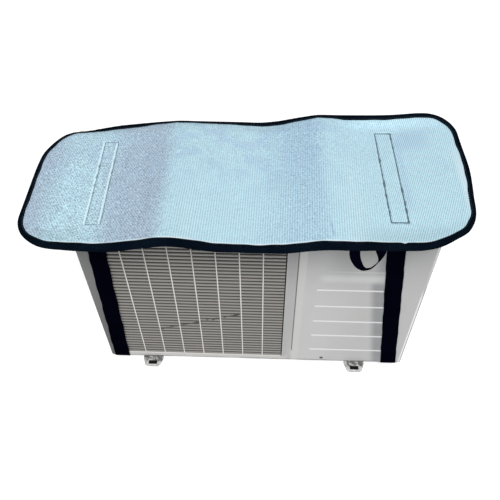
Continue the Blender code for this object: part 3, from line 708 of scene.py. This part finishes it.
def rounded_block(low, high, radius, builder=None):
    """A box, with every edge rounded where a radius is given."""
    builder = builder or bmesh.new()
    made = bmesh.ops.create_cube(builder, size=1.0)["verts"]
    low, high = Vector(low), Vector(high)
    bmesh.ops.scale(builder, vec=high - low, verts=made)
    bmesh.ops.translate(builder, vec=(low + high) / 2, verts=made)
    if radius:
        round_edges(builder, {edge for vert in made for edge in vert.link_edges}, radius, 3)
    return builder


def round_edges(builder, edges, radius, segments):
    bmesh.ops.bevel(builder, geom=list(edges), offset=radius, segments=segments, profile=0.5, affect="EDGES")


def cut_away(piece, tools, bevel):
    """Cut boxes from a piece, soften the new edges and keep the result as its mesh."""
    builder = bmesh.new()
    for low, high in tools:
        rounded_block(low, high, 0.0, builder)
    cutter = add_object("cutter", make_mesh("cutter", builder))
    cut = piece.modifiers.new("cut", "BOOLEAN")
    cut.object = cutter
    cut.solver = "EXACT"
    soften = piece.modifiers.new("soften", "BEVEL")
    soften.width = bevel
    soften.segments = 2
    soften.limit_method = "ANGLE"
    soften.angle_limit = SHARP_ANGLE
    bpy.context.view_layer.update()
    solid = bpy.data.meshes.new_from_object(piece.evaluated_get(bpy.context.evaluated_depsgraph_get()))
    piece.modifiers.clear()
    piece.data = solid
    solid.shade_smooth()
    solid.set_sharp_from_angle(angle=SHARP_ANGLE)
    bpy.data.objects.remove(cutter, do_unlink=True)


def ribbon(lefts, rights, thickness, closed_along=False):
    """A tape between two edge lines, with rounded edges and a slight crown."""
    across = (0.0, 0.02, 0.10, 0.30, 0.50, 0.70, 0.90, 0.98, 1.0)
    depth = (0.25, 0.75, 1.0, 1.0, 1.0, 1.0, 1.0, 0.75, 0.25)
    middles = (lefts + rights) / 2
    if closed_along:
        runs = np.roll(middles, -1, axis=0) - np.roll(middles, 1, axis=0)
    else:
        runs = np.gradient(middles, axis=0)
    faces = np.cross(runs, rights - lefts)
    faces *= thickness / 2 / np.linalg.norm(faces, axis=1, keepdims=True)
    rings = []
    for left, right, face in zip(lefts, rights, faces):
        line = [left + (right - left) * share for share in across]
        upper = [point + face * share for point, share in zip(line, depth)]
        lower = [point - face * share for point, share in zip(line, depth)]
        rings.append(upper + lower[::-1])
    return skin(rings, closed_along)


def travelled(points):
    """How far along a row of points each one lies."""
    return np.concatenate([[0], np.cumsum(np.linalg.norm(np.diff(points, axis=0), axis=1))])


def points_at(at, travel, points):
    """Points at distances along a row of points."""
    return np.stack([np.interp(at, travel, column) for column in points.T], axis=-1)


def even_steps(ring, step):
    """Places in even steps round a closed ring of points, and how far round each one lies."""
    ring = np.concatenate([ring, ring[:1]])
    travel = travelled(ring)
    at = np.linspace(0, travel[-1], int(travel[-1] / step), endpoint=False)
    return points_at(at, travel, ring), at


def stitches(points, length, pitch, radius, builder=None):
    """Short threads laid end to end along a line, each pulled down at both ends."""
    builder = builder or bmesh.new()
    travel = travelled(points)
    count = int(travel[-1] / pitch)
    angles = [math.radians(60 * corner) for corner in range(6)]
    for index in range(count):
        middle = (index + 0.5) * travel[-1] / count
        rings = []
        for share, girth in ((-1.0, 0.3), (-0.7, 0.85), (0.0, 1.0), (0.7, 0.85), (1.0, 0.3)):
            at = middle + share * length / 2
            centre = points_at(at, travel, points)
            side = np.cross(points_at(at + MM, travel, points) - centre, UPWARD)
            side /= np.linalg.norm(side)
            centre = centre + UPWARD * radius * (0.6 - 1.1 * share**2)
            turned = [side * math.cos(angle) + UPWARD * math.sin(angle) for angle in angles]
            rings.append([centre + way * radius * girth for way in turned])
        skin(rings, builder=builder)
    return builder


# ---------------------------------------------------------------- the cover's lay


def soft_step(value, low, high):
    """0 below low and 1 above high, with a smooth rise between."""
    share = np.clip((value - low) / (high - low), 0, 1)
    return share * share * (3 - 2 * share)


def plateau(value, low, high, rise, fall):
    """1 between two limits, with soft ends inside them."""
    return soft_step(value, low, low + rise) * soft_step(-value, -high, -high + fall)


def hump(value, middle, width):
    """1 at the middle, with a soft fall over the width to each side."""
    return np.exp(-(((value - middle) / width) ** 2))


def knot_slopes(knots, values):
    """Slopes for a smooth curve that never overshoots its knots."""
    slopes = np.diff(values, axis=0) / np.diff(knots).reshape(-1, *[1] * (values.ndim - 1))
    before, after = slopes[:-1], slopes[1:]
    rising = before * after > 0
    total = np.where(rising, before + after, 1.0)
    inner = np.where(rising, 2 * before * after / total, 0.0)
    return np.concatenate([slopes[:1], inner, slopes[-1:]])


def smooth_curve(places, knots, values):
    """Read a smooth curve through the knots. Values may hold one curve for each place."""
    knots, values = np.asarray(knots, float), np.asarray(values, float)
    tangents = knot_slopes(knots, values)
    places = np.clip(places, knots[0], knots[-1])
    span = np.minimum(np.searchsorted(knots, places, side="right") - 1, len(knots) - 2)
    width = knots[span + 1] - knots[span]
    part = (places - knots[span]) / width
    own = tuple(np.indices(span.shape)) if values.ndim > 1 else ()
    pick, after = (span, *own), (span + 1, *own)
    ends = (1 + 2 * part) * (1 - part) ** 2 * values[pick] + part**2 * (3 - 2 * part) * values[after]
    return ends + part * (1 - part) * width * ((1 - part) * tangents[pick] - part * tangents[after])


def lay_height(along, across):
    """Height of the cover's plain upper face at places on the cover."""
    table = np.array(LAY, float) * MM
    rows = [smooth_curve(along, table[:, 0], heights) for heights in table[:, 1:].T]
    return UNIT_TOP + smooth_curve(across, ACROSS_PLACES, rows)


def on_cover(along, across, rise=0.0):
    """Points on or near the cover's upper face, in the part's frame."""
    height = lay_height(along, across) + rise
    shift_along = shift_across = 0.0
    for row in STRAYS:
        place_along, place_across, reach_along, reach_across, ahead, back, up = np.array(row) * MM
        share = hump(along, place_along, reach_along) * hump(across, place_across, reach_across)
        shift_along = shift_along + ahead * share
        shift_across = shift_across + back * share
        height = height + up * share
    along, across = along + shift_along, across + shift_across
    x = along * TURN_COS - across * TURN_SIN
    y = along * TURN_SIN + across * TURN_COS
    return np.stack([x, y, height], axis=-1)


def ripple(along, across, size, seed):
    """Seeded soft noise from -1 to 1 over the cover, from a few crossing waves."""
    random = np.random.default_rng(seed)
    total = np.zeros(np.broadcast(along, across).shape)
    for _ in range(9):
        turn = random.uniform(0, 2 * math.pi)
        shift = random.uniform(0, 2 * math.pi)
        length = size * random.uniform(0.7, 1.6)
        way = along * math.cos(turn) + across * math.sin(turn)
        total += np.sin(2 * math.pi * way / length + shift)
    return total / 4.5


def outline():
    """The cover's outer outline, corner after corner, as a ring of places."""
    corners = []
    for index, (name, (size_x, size_y, extra)) in enumerate(CORNERS.items()):
        middle_x = (1 if "right" in name else -1) * (COVER_LENGTH / 2 + extra - size_x)
        middle_y = (1 if "back" in name else -1) * (COVER_DEPTH / 2 - size_y)
        angles = np.radians(180 + 90 * index + np.linspace(0, 90, CORNER_STEPS + 1))
        corner = [middle_x + size_x * np.cos(angles), middle_y + size_y * np.sin(angles)]
        corners.append(np.stack(corner, axis=1))
    return np.concatenate(corners)


def even_ring(step):
    """The outline in even steps: the places, the direction inwards at each, and how far round it lies."""
    places, at = even_steps(outline(), step)
    run = np.roll(places, -1, axis=0) - np.roll(places, 1, axis=0)
    run = (run + np.roll(run, 1, axis=0) + np.roll(run, -1, axis=0)) / 3
    inward = np.stack([-run[:, 1], run[:, 0]], axis=1)
    return places, inward / np.linalg.norm(inward, axis=1, keepdims=True), at


def edge_distance(along, across):
    """How far places lie inside the outline, near enough for soft shaping."""
    flat = np.stack([np.ravel(along), np.ravel(across)], axis=1)
    nearest = np.full(len(flat), 1.0)
    for place in even_ring(ROUGH_STEP)[0]:
        nearest = np.minimum(nearest, np.hypot(*(flat - place).T))
    return nearest.reshape(np.shape(along))


def line_distance(along, across, anchor):
    """How far places lie from the stitched lines of an anchor rectangle, and which lie inside it."""
    left, right, front, back = ANCHORS[anchor]
    beside = np.maximum(left - along, along - right)
    beyond = np.maximum(front - across, across - back)
    outside = np.hypot(np.maximum(beside, 0), np.maximum(beyond, 0))
    return np.where(outside > 0, outside, np.maximum(-np.maximum(beside, beyond), 0)), outside == 0


def face_detail(along, across, edge):
    """Soft shaping of the pad's upper face: creases, sewn lines, puckers and packing wrinkles."""
    rise = 0.35 * MM * ripple(along, across, 0.11, 5) + 0.10 * MM * ripple(along, across, 0.022, 8)
    for place, height in CREASES:
        away = np.abs(along - place - 0.004 * ripple(across, 0 * across, 0.30, 3))
        rise += height * np.exp(-away / (7 * MM))
    for anchor, (_, _, front, back) in ANCHORS.items():
        away, inside = line_distance(along, across, anchor)
        at_ends = hump(across, front, 4 * MM) + hump(across, back, 4 * MM)
        rise -= 1.8 * MM * hump(away, 0, 2 * MM) * (1 - 0.85 * at_ends)
        rise += 0.5 * MM * hump(away, 5.5 * MM, 3 * MM) * (1 - at_ends)
        rise += 0.18 * MM * np.sin(2 * math.pi * across / (11 * MM)) * np.exp(-away / (6 * MM))
        rise += np.where(inside, 0.3 * MM, 0.0) * np.clip(away / (6 * MM), 0, 1)
    level = hump(along, 0.21, 0.09) + hump(along, -0.04, 0.12)
    rise += 0.10 * MM * level * ripple(along * 0.18, across, 0.016, 11)
    rise -= 1.5 * MM * hump(along, FRONT_CREASE, 2.2 * MM) * np.clip((-0.130 - across) / 0.03, 0, 1)
    rise += 0.5 * MM * hump(edge, 0.021, 0.008) * (1 + 0.5 * np.sin(2 * math.pi * along / (17 * MM)))
    return rise * np.clip((edge - 2 * MM) / (10 * MM), 0, 1)


# ---------------------------------------------------------------- the cover


def edge_line(along, inset, side):
    """Where the front or back edge of the cover lies at places along it, drawn in by an inset."""
    across = np.full(len(along), COVER_DEPTH / 2 - inset)
    for end, way in (("left", -1), ("right", 1)):
        size_x, size_y, extra = CORNERS[side + "_" + end]
        into = np.clip(along * way - (COVER_LENGTH / 2 + extra - size_x), 0, size_x - inset)
        across -= (size_y - inset) * (1 - np.sqrt(1 - (into / (size_x - inset)) ** 2))
    return across * (1 if side == "back" else -1)


def gathered(low, high, seams):
    """Even places between two ends, with finer ones round the seams."""
    places = [np.linspace(low, high, int((high - low) / FACE_STEP) + 1)]
    places += [np.arange(seam - SEAM_REACH, seam + SEAM_REACH, SEAM_STEP) for seam in seams]
    places = np.unique(np.concatenate(places).round(6))
    places = places[(places >= low) & (places <= high)]
    return places[np.diff(places, prepend=low - 1) > SEAM_STEP / 3]


def pad_places():
    """A grid of places over the pad, finer along its sewn lines and its rounded ends."""
    inside = gathered(-FACE_END, FACE_END, [seam for anchor in ANCHORS.values() for seam in anchor[:2]])
    left_end = -COVER_LENGTH / 2 - CORNERS["front_left"][2] + PAD_INSET
    right_end = COVER_LENGTH / 2 + CORNERS["front_right"][2] - PAD_INSET
    ease = 1 - np.cos(np.linspace(0, math.pi / 2, 13)[:-1])
    left = left_end + (inside[0] - left_end) * ease
    right = right_end + (inside[-1] - right_end) * ease[::-1]
    along = np.concatenate([left, inside, right])
    front, back = (edge_line(along, PAD_INSET, side) for side in ("front", "back"))
    half = COVER_DEPTH / 2 - PAD_INSET
    shares = gathered(-half, half, [seam for anchor in ANCHORS.values() for seam in anchor[2:]]) + half
    across = front + (back - front) * (shares / (2 * half))[:, None]
    return np.broadcast_to(along, across.shape), across


def build_pad():
    """The foil-faced foam pad, a dense sheet with a soft rim."""
    along, across = pad_places()
    edge = edge_distance(along, across)
    drop = 0.25 * MM + 1.4 * MM * np.exp(-np.maximum(edge - 1.5 * MM, 0) / (1.5 * MM))
    builder = bmesh.new()
    rises = (face_detail(along, across, edge) - drop, drop - PAD_THICKNESS)
    upper_rim, lower_rim = [grid_sheet(builder, on_cover(along, across, rise)) for rise in rises]
    join_rims(builder, upper_rim, lower_rim)
    pad = finish_piece("foil_pad", builder, "foil", "pad", sharp=False)


def binding_section(lap, swell, sag):
    """The folded tape's section: inset from the outer edge, and height from the face or the underside."""
    top = TOUCH_GAP + TAPE_THICKNESS
    low = -PAD_THICKNESS - top - sag
    middle = -PAD_THICKNESS / 2
    over = [(lap, TOUCH_GAP + 0.5 * MM), (lap - 0.4 * MM, top), (lap * 0.72, top + 0.2 * MM)]
    over += [(lap * 0.45, top + 0.3 * MM + swell), (3.2 * MM, top + 0.1 * MM + swell)]
    over += [(1.5 * MM, top - 0.6 * MM), (0.5 * MM, top - 2.0 * MM)]
    over += [(0.0, top - 4.4 * MM), (-swell / 2, middle)]
    under = [(0.0, low + 4.4 * MM), (0.5 * MM, low + 2.0 * MM), (1.5 * MM, low + 0.6 * MM)]
    under += [(3.2 * MM, low - 0.1 * MM), (lap * 0.5, low), (lap, low + 0.1 * MM)]
    inner = [(lap, low + TAPE_THICKNESS), (2.6 * MM, low + TAPE_THICKNESS), (1.35 * MM, low + 3.2 * MM)]
    inner += [(TAPE_THICKNESS, middle), (1.35 * MM, top - 3.2 * MM), (2.6 * MM, TOUCH_GAP)]
    return np.array(over + under + inner)


def tape_lap(places, at, total):
    """How far the tape laps over the face at each place round the ring, uneven as hand sewing is."""
    along, across = places.T
    table = np.array(BACK_LAPS) * MM
    lap = TAPE_LAP + soft_step(across, 0.06, 0.16) * (np.interp(along, *table.T) - TAPE_LAP)
    lap += 0.5 * MM * np.sin(2 * math.pi * at * 31 / total)
    lap += 0.4 * MM * np.sin(2 * math.pi * at * 53 / total + 1)
    lap -= 3.5 * MM * hump(along, 0.304, 4 * MM) * (across < 0)
    frayed = hump(across, -0.075, 0.035) * (along > 0.40)
    return lap + 1.3 * MM * frayed * np.sin(2 * math.pi * at / (7 * MM))


def build_binding():
    """The binding tape folded round the pad's edge, and the stitches that hold it."""
    places, inward, at = even_ring(RING_STEP)
    total = at[-1] + RING_STEP
    bend = np.abs(np.cross(inward, np.roll(inward, -6, axis=0)))
    pucker = np.clip(bend * 8, 0, 1) * 0.5 * MM * np.sin(2 * math.pi * at / (19 * MM))
    swell = pucker + 0.15 * MM * np.sin(2 * math.pi * at * 47 / total)
    laps = tape_lap(places, at, total)
    table = np.array(FRONT_SAGS) * MM
    sags = np.interp(places[:, 0], *table.T) * soft_step(-places[:, 1], 0.14, 0.19)
    rings = []
    for place, way, lap, rise, sag in zip(places, inward, laps, swell, sags):
        section = binding_section(lap, rise, sag)
        rings.append(on_cover(*(place + way * section[:, :1]).T, section[:, 1]))
    tape = finish_piece("edge_binding", skin(rings, closed_along=True), "binding", "binding")
    line = places + inward * (laps - 2.4 * MM)[:, None]
    thread = on_cover(*line.T, TOUCH_GAP + TAPE_THICKNESS + 0.15 * MM)
    sewn = stitches(thread, 3.0 * MM, 4.3 * MM, 0.32 * MM)
    seam = finish_piece("binding_stitches", sewn, "black_thread")


def build_anchor_stitches():
    """The two stitched rectangles, sunk into the pad's face."""
    for side, (left, right, front, back) in ANCHORS.items():
        corners = np.array([(left, front), (right, front), (right, back), (left, back), (left, front)])
        length, radius = ANCHOR_THREADS[side]
        builder = bmesh.new()
        for start, end in zip(corners, corners[1:]):
            steps = max(int(np.linalg.norm(end - start) / (4 * MM)), 4)
            line = start + (end - start) * np.linspace(0, 1, steps + 1)[:, None]
            line[:, 0] += 0.8 * MM * ripple(line[:, 1], line[:, 0], 0.05, 12)
            along, across = line.T
            sunk = face_detail(along, across, edge_distance(along, across))
            stitches(on_cover(along, across, sunk), length, 4.7 * MM, radius, builder)
        finish_piece("anchor_stitches_" + side, builder, "dark_thread")


def arc_path(corners, step):
    """A closed path in the upright plane whose corners are rounded, in even steps."""
    points = []
    for index, (corner, radius) in enumerate(corners):
        corner = Vector(corner)
        before = (Vector(corners[index - 1][0]) - corner).normalized()
        after = (Vector(corners[(index + 1) % len(corners)][0]) - corner).normalized()
        back_off = radius / math.tan(before.angle(after) / 2)
        start, end = corner + before * back_off, corner + after * back_off
        shares = np.linspace(0, 1, 13)
        points += [list(start.lerp(corner, share).lerp(corner.lerp(end, share), share)) for share in shares]
    return even_steps(np.array(points), step)[0]


def build_strap(side):
    """A webbing strap round the unit: under the cover, down the front, below the base and up the back."""
    sizes = STRAPS[side]
    half = STRAP_THICKNESS / 2
    top = UNIT_TOP + TOUCH_GAP + half
    bottom = FOOT_HEIGHT - STRAP_STAND_OFF - half
    front = FRONT_Y - STRAP_STAND_OFF - half
    back = BACK_Y + STRAP_STAND_OFF + half
    path = arc_path([
        ((sizes["front"] - half, top), STRAP_BEND),
        ((front, top - STRAP_EASE_DROP), STRAP_EASE),
        ((front, bottom), STRAP_BEND),
        ((back, bottom), STRAP_BEND),
        ((back, top - STRAP_EASE_DROP), STRAP_EASE),
        ((sizes["back"] + half, top), STRAP_BEND),
    ], 4 * MM)
    level = np.clip(path[:, 1] - FOOT_HEIGHT, 0, CASE_HEIGHT)
    middle = MIDDLE_X + np.interp(level, STRAP_LEVELS, sizes["across"])
    middle = middle + sizes["sway"] * (np.sin(level * 55) + 0.5 * np.sin(level * 131 + 1))
    centre = np.stack([middle, *path.T], axis=1)
    reach = np.array((STRAP_WIDTH / 2, 0, 0))
    builder = ribbon(centre - reach, centre + reach, STRAP_THICKNESS, closed_along=True)
    strap = finish_piece("webbing_" + side, builder, "webbing", "strap_" + side)


def build_loop():
    """The narrow hanging loop, which turns over once on its way round."""
    table = np.array(LOOP, float) * MM
    places = np.linspace(0, len(LOOP) - 1, LOOP_STEPS)
    stations = np.arange(len(LOOP))
    row = {name: smooth_curve(places, stations, column) for name, column in zip(LOOP_COLUMNS, table.T)}
    under = PAD_THICKNESS + TOUCH_GAP + TAPE_THICKNESS + LOOP_TOP_CLEARANCE
    edges = []
    for sign in (-1, 1):
        x = LOOP_START_X + row["across"] + sign * row["half_x"]
        y = LOOP_START_Y + row["back"] + sign * row["half_y"]
        top = lay_height(x, LOOP_START_Y - x * TURN_SIN) - under
        edges.append(np.stack([x, y, top - row["down"] + sign * row["half_z"]], axis=1))
    builder = ribbon(*edges, LOOP_THICKNESS)
    loop = finish_piece("hanging_tape", builder, "loop", "hanging_loop")


# ---------------------------------------------------------------- the outdoor unit


def build_case():
    """The painted case with its grille recess, joint line and seams."""
    builder = rounded_block((UNIT_LEFT, FRONT_Y, FOOT_HEIGHT), (UNIT_RIGHT, BACK_Y, UNIT_TOP), 0.0)
    upright = [edge for edge in builder.edges if abs(edge.verts[0].co.z - edge.verts[1].co.z) > MM]
    round_edges(builder, upright, CORNER_RADIUS, 6)
    rim = [edge for edge in builder.edges if min(vert.co.z for vert in edge.verts) > UNIT_TOP - MM]
    round_edges(builder, rim, TOP_EDGE_RADIUS, 4)
    case = finish_piece("case_shell", builder, "case", "unit_case")
    out = FRONT_Y - CUT_PAST
    left, right, back = UNIT_LEFT - CUT_PAST, UNIT_RIGHT + CUT_PAST, BACK_Y + CUT_PAST
    front_line, back_line = FRONT_Y + SEAM, BACK_Y - SEAM
    joint_left, joint_right = JOINT_X - JOINT_HALF, JOINT_X + JOINT_HALF
    low, high = LID_SEAM_Z - SEAM / 2, LID_SEAM_Z + SEAM / 2
    tools = [
        ((GRILLE_LEFT, out, GRILLE_BOTTOM), (GRILLE_RIGHT, FRONT_Y + GRILLE_RECESS, GRILLE_TOP)),
        ((joint_left, out, JOINT_START), (joint_right, front_line + MM, GRILLE_TOP)),
        ((UNIT_LEFT + 0.012, out, BASE_SEAM_Z), (GRILLE_RIGHT, front_line, BASE_SEAM_Z + MM)),
        ((left, out, low), (right, front_line, high)),
        ((left, back_line, low), (right, back, high)),
        ((left, front_line, low), (UNIT_LEFT + SEAM, back_line, high)),
        ((UNIT_RIGHT - SEAM, front_line, low), (right, back_line, high)),
    ]
    cut_away(case, tools, 0.3 * MM)


def build_service_panel():
    """The service side's sheet, raised with a soft left shoulder and crossed by six pressed lines."""
    line_left, line_right = PRESSED_LEFT, PRESSED_RIGHT
    stops = (PANEL_LEFT, PANEL_LEFT + 0.024, line_left - 0.008, line_left + 0.010, line_right - 0.010,
             line_right + 0.006, PANEL_RIGHT)
    spans = zip(stops, stops[1:], (13, 4, 13, 24, 10, 12))
    columns = np.unique(np.concatenate([np.linspace(*span) for span in spans]).round(6))
    near = np.linspace(-PRESSED_SLOPE - 0.5 * MM, PRESSED_WALL + 0.5 * MM, 15)
    rows = [near + FOOT_HEIGHT + height for height in PRESSED_HEIGHTS]
    rows.append(np.linspace(PANEL_BOTTOM, PANEL_TOP, 60))
    x, z = np.meshgrid(columns, np.unique(np.concatenate(rows).round(5)))
    rise = PANEL_RISE * plateau(x, PANEL_LEFT, PANEL_RIGHT, PANEL_SHOULDER, 4 * MM)
    rise *= plateau(z, PANEL_BOTTOM, PANEL_TOP, 3 * MM, 3 * MM)
    for height in PRESSED_HEIGHTS:
        faint = height == PRESSED_HEIGHTS[-1]
        above = z - FOOT_HEIGHT - height
        ends = plateau(x, line_left + (0.016 if faint else 0.0), line_right, 4 * MM, 4 * MM)
        slope = np.clip(1 + above / PRESSED_SLOPE, 0, 1) * (above <= 0)
        wall = np.clip(1 - above / PRESSED_WALL, 0, 1) * (above > 0)
        rise -= PRESSED_DEPTH * (0.4 if faint else 1.0) * ends * (slope + wall)
    builder = bmesh.new()
    rim = grid_sheet(builder, np.stack([x, FRONT_Y - 0.05 * MM - rise, z], axis=-1))
    behind = [builder.verts.new((vert.co.x, FRONT_Y + 0.3 * MM, vert.co.z)) for vert in rim]
    join_rims(builder, rim, behind)
    builder.faces.new(behind)
    finish_piece("service_panel", builder, "case")


def build_corner_panel():
    """The grey corner panel, wrapped from the front round the left end."""
    middle = (UNIT_LEFT + CORNER_RADIUS, FRONT_Y + CORNER_RADIUS)
    bend = [math.radians(270 - 90 * step / 8) for step in range(9)]
    outline_points = []
    for proud, way in zip(CORNER_SHEET, (1, -1)):
        radius = CORNER_RADIUS + proud
        line = [(GRILLE_LEFT - 4 * MM, middle[1] - radius)]
        line += [(middle[0] + radius * math.cos(a), middle[1] + radius * math.sin(a)) for a in bend]
        line += [(middle[0] - radius, CORNER_PANEL_BACK)]
        outline_points += line[::way]
    levels = (PANEL_BOTTOM, PANEL_BOTTOM + MM, PANEL_TOP - MM, PANEL_TOP)
    rings = [[(x, y, level) for x, y in outline_points] for level in levels]
    finish_piece("corner_panel", skin(rings), "corner")


def build_louvres():
    """Forty moulded louvres with rounded lips, and the plate of dark fins behind them."""
    start, end = GRILLE_LEFT + TOUCH_GAP, GRILLE_RIGHT - TOUCH_GAP
    builder = bmesh.new()
    for index in range(LOUVRE_COUNT):
        middle = GRILLE_BOTTOM + (index + 0.5) * LOUVRE_PITCH
        section = [(FRONT_Y + y * MM, middle + z * MM) for y, z in LOUVRE_SECTION]
        skin([[(x, y, z) for y, z in section] for x in (start, end - GRILLE_SHORT)], builder=builder)
    finish_piece("louvre_set", builder, "louvre", "grille_louvres")
    plate_low = (start, FRONT_Y + COIL_PLATE_FACE, GRILLE_BOTTOM + TOUCH_GAP)
    plate_high = (end, FRONT_Y + GRILLE_RECESS - TOUCH_GAP, GRILLE_TOP - TOUCH_GAP)
    finish_piece("coil_plate", rounded_block(plate_low, plate_high, 0.5 * MM), "coil")


def build_ribs():
    """Seven upright ribs and the two rails that hold them, with rounded faces."""
    front, behind = (FRONT_Y + face for face in RIB_FACE)
    low, high = GRILLE_BOTTOM + TOUCH_GAP, GRILLE_TOP - TOUCH_GAP
    left, right = GRILLE_LEFT + TOUCH_GAP, GRILLE_RIGHT - TOUCH_GAP - GRILLE_SHORT
    bars = [(left, right, low, low + RAIL_HEIGHT), (left, right, high - RAIL_HEIGHT, high)]
    for bay in range(1, RIB_BAYS):
        middle = GRILLE_LEFT + bay * RIB_PITCH
        bars.append((middle - RIB_WIDTH / 2, middle + RIB_WIDTH / 2, low, high))
    builder = bmesh.new()
    for start, end, foot, head in bars:
        rounded_block((start, front, foot), (end, behind, head), 0.6 * MM, builder)
    finish_piece("grille_bars", builder, "rib", "grille_ribs")


def build_foot(side):
    """A pressed foot: a rail on a plate with two slotted tabs."""
    middle = FOOT_MIDDLES[side]
    builder = bmesh.new()
    plate = []
    for edge, way in ((FRONT_Y, -1), (BACK_Y, 1)):
        reach = edge + way * FOOT_TAB_REACH
        half, corner = FOOT_TAB_HALF, FOOT_TAB_CORNER
        left = [(-FOOT_HALF, edge), (-half - MM, reach - way * corner), (-half + corner, reach)]
        points = left + [(-x, y) for x, y in left[::-1]]
        plate += points[::-way]
    face = builder.faces.new([builder.verts.new((middle + x, y, 0.0)) for x, y in plate])
    pushed = bmesh.ops.extrude_face_region(builder, geom=[face])
    moved = [item for item in pushed["geom"] if isinstance(item, bmesh.types.BMVert)]
    bmesh.ops.translate(builder, vec=(0, 0, FOOT_PLATE), verts=moved)
    rail_low = (middle - FOOT_HALF + 3 * MM, FRONT_Y + RAIL_INSET, FOOT_PLATE - 0.5 * MM)
    rail_high = (middle + FOOT_HALF - 3 * MM, BACK_Y - RAIL_INSET, FOOT_HEIGHT - TOUCH_GAP)
    rounded_block(rail_low, rail_high, MM, builder)
    foot = finish_piece("foot_press_" + side, builder, "foot", "foot_" + side)
    half_x, half_y = SLOT_HALF
    slots = []
    for y in (FRONT_Y - SLOT_OUT, BACK_Y + SLOT_OUT):
        slots.append(((middle - half_x, y - half_y, -CUT_PAST), (middle + half_x, y + half_y, CUT_PAST)))
    cut_away(foot, slots, 0.5 * MM)


def build_screw():
    """The small dark screw at the foot of the service panel."""
    angles = [math.radians(20 * step) for step in range(18)]
    rings = []
    for out, radius in SCREW_PROFILE:
        y = FRONT_Y - PANEL_RISE - out * MM
        turns = [(radius * MM * math.cos(a), radius * MM * math.sin(a)) for a in angles]
        rings.append([(SCREW_PLACE[0] + x, y, SCREW_PLACE[1] + z) for x, z in turns])
    finish_piece("panel_screw", skin(rings), "screw")


# ---------------------------------------------------------------- studio


def build_floor():
    """A wide pale floor under the feet."""
    mesh = bpy.data.meshes.new("studio_floor")
    corners = [(x * FLOOR_REACH, y * FLOOR_REACH, 0) for x, y in ((-1, -1), (1, -1), (1, 1), (-1, 1))]
    mesh.from_pydata(corners, [], [(0, 1, 2, 3)])
    mesh.materials.append(FINISHES["floor"])
    floor = add_object("studio_floor", mesh)
    floor.location.z = -FLOOR_DROP


def light_studio():
    """An even pale sky with one large soft light, high on the right of the front."""
    world = bpy.data.worlds.new("studio")
    world.use_nodes = True
    sky = world.node_tree.nodes["Background"]
    sky.inputs["Color"].default_value = (1.0, 1.0, 1.0, 1.0)
    sky.inputs["Strength"].default_value = SKY_STRENGTH
    bpy.context.scene.world = world
    light = bpy.data.lights.new("key", "SUN")
    light.energy = SUN_ENERGY
    light.angle = SUN_SPREAD
    lamp = add_object("key", light)
    lamp.rotation_euler = SUN_WAY.to_track_quat("-Z", "Y").to_euler()
    lamp.location = SUN_PLACE
    bpy.context.scene.view_settings.view_transform = "Standard"


def aim_camera():
    """The camera at the photograph's place, height and tilt."""
    data = bpy.data.cameras.new("photo_camera")
    data.sensor_width = CAMERA_SENSOR
    data.lens = CAMERA_LENS
    camera = add_object("photo_camera", data)
    tilt = Matrix.Rotation(math.pi / 2 - CAMERA_PITCH, 4, "X") @ Matrix.Rotation(CAMERA_ROLL, 4, "Z")
    camera.matrix_world = Matrix.Translation(CAMERA_PLACE) @ Matrix.Rotation(-CAMERA_TURN, 4, "Z") @ tilt
    bpy.context.scene.camera = camera


def main():
    aim_camera()
    light_studio()
    build_floor()
    build_case()
    build_service_panel()
    build_corner_panel()
    build_louvres()
    build_ribs()
    for side in FOOT_MIDDLES:
        build_foot(side)
    build_screw()
    build_pad()
    build_binding()
    build_anchor_stitches()
    for side in STRAPS:
        build_strap(side)
    build_loop()


main()
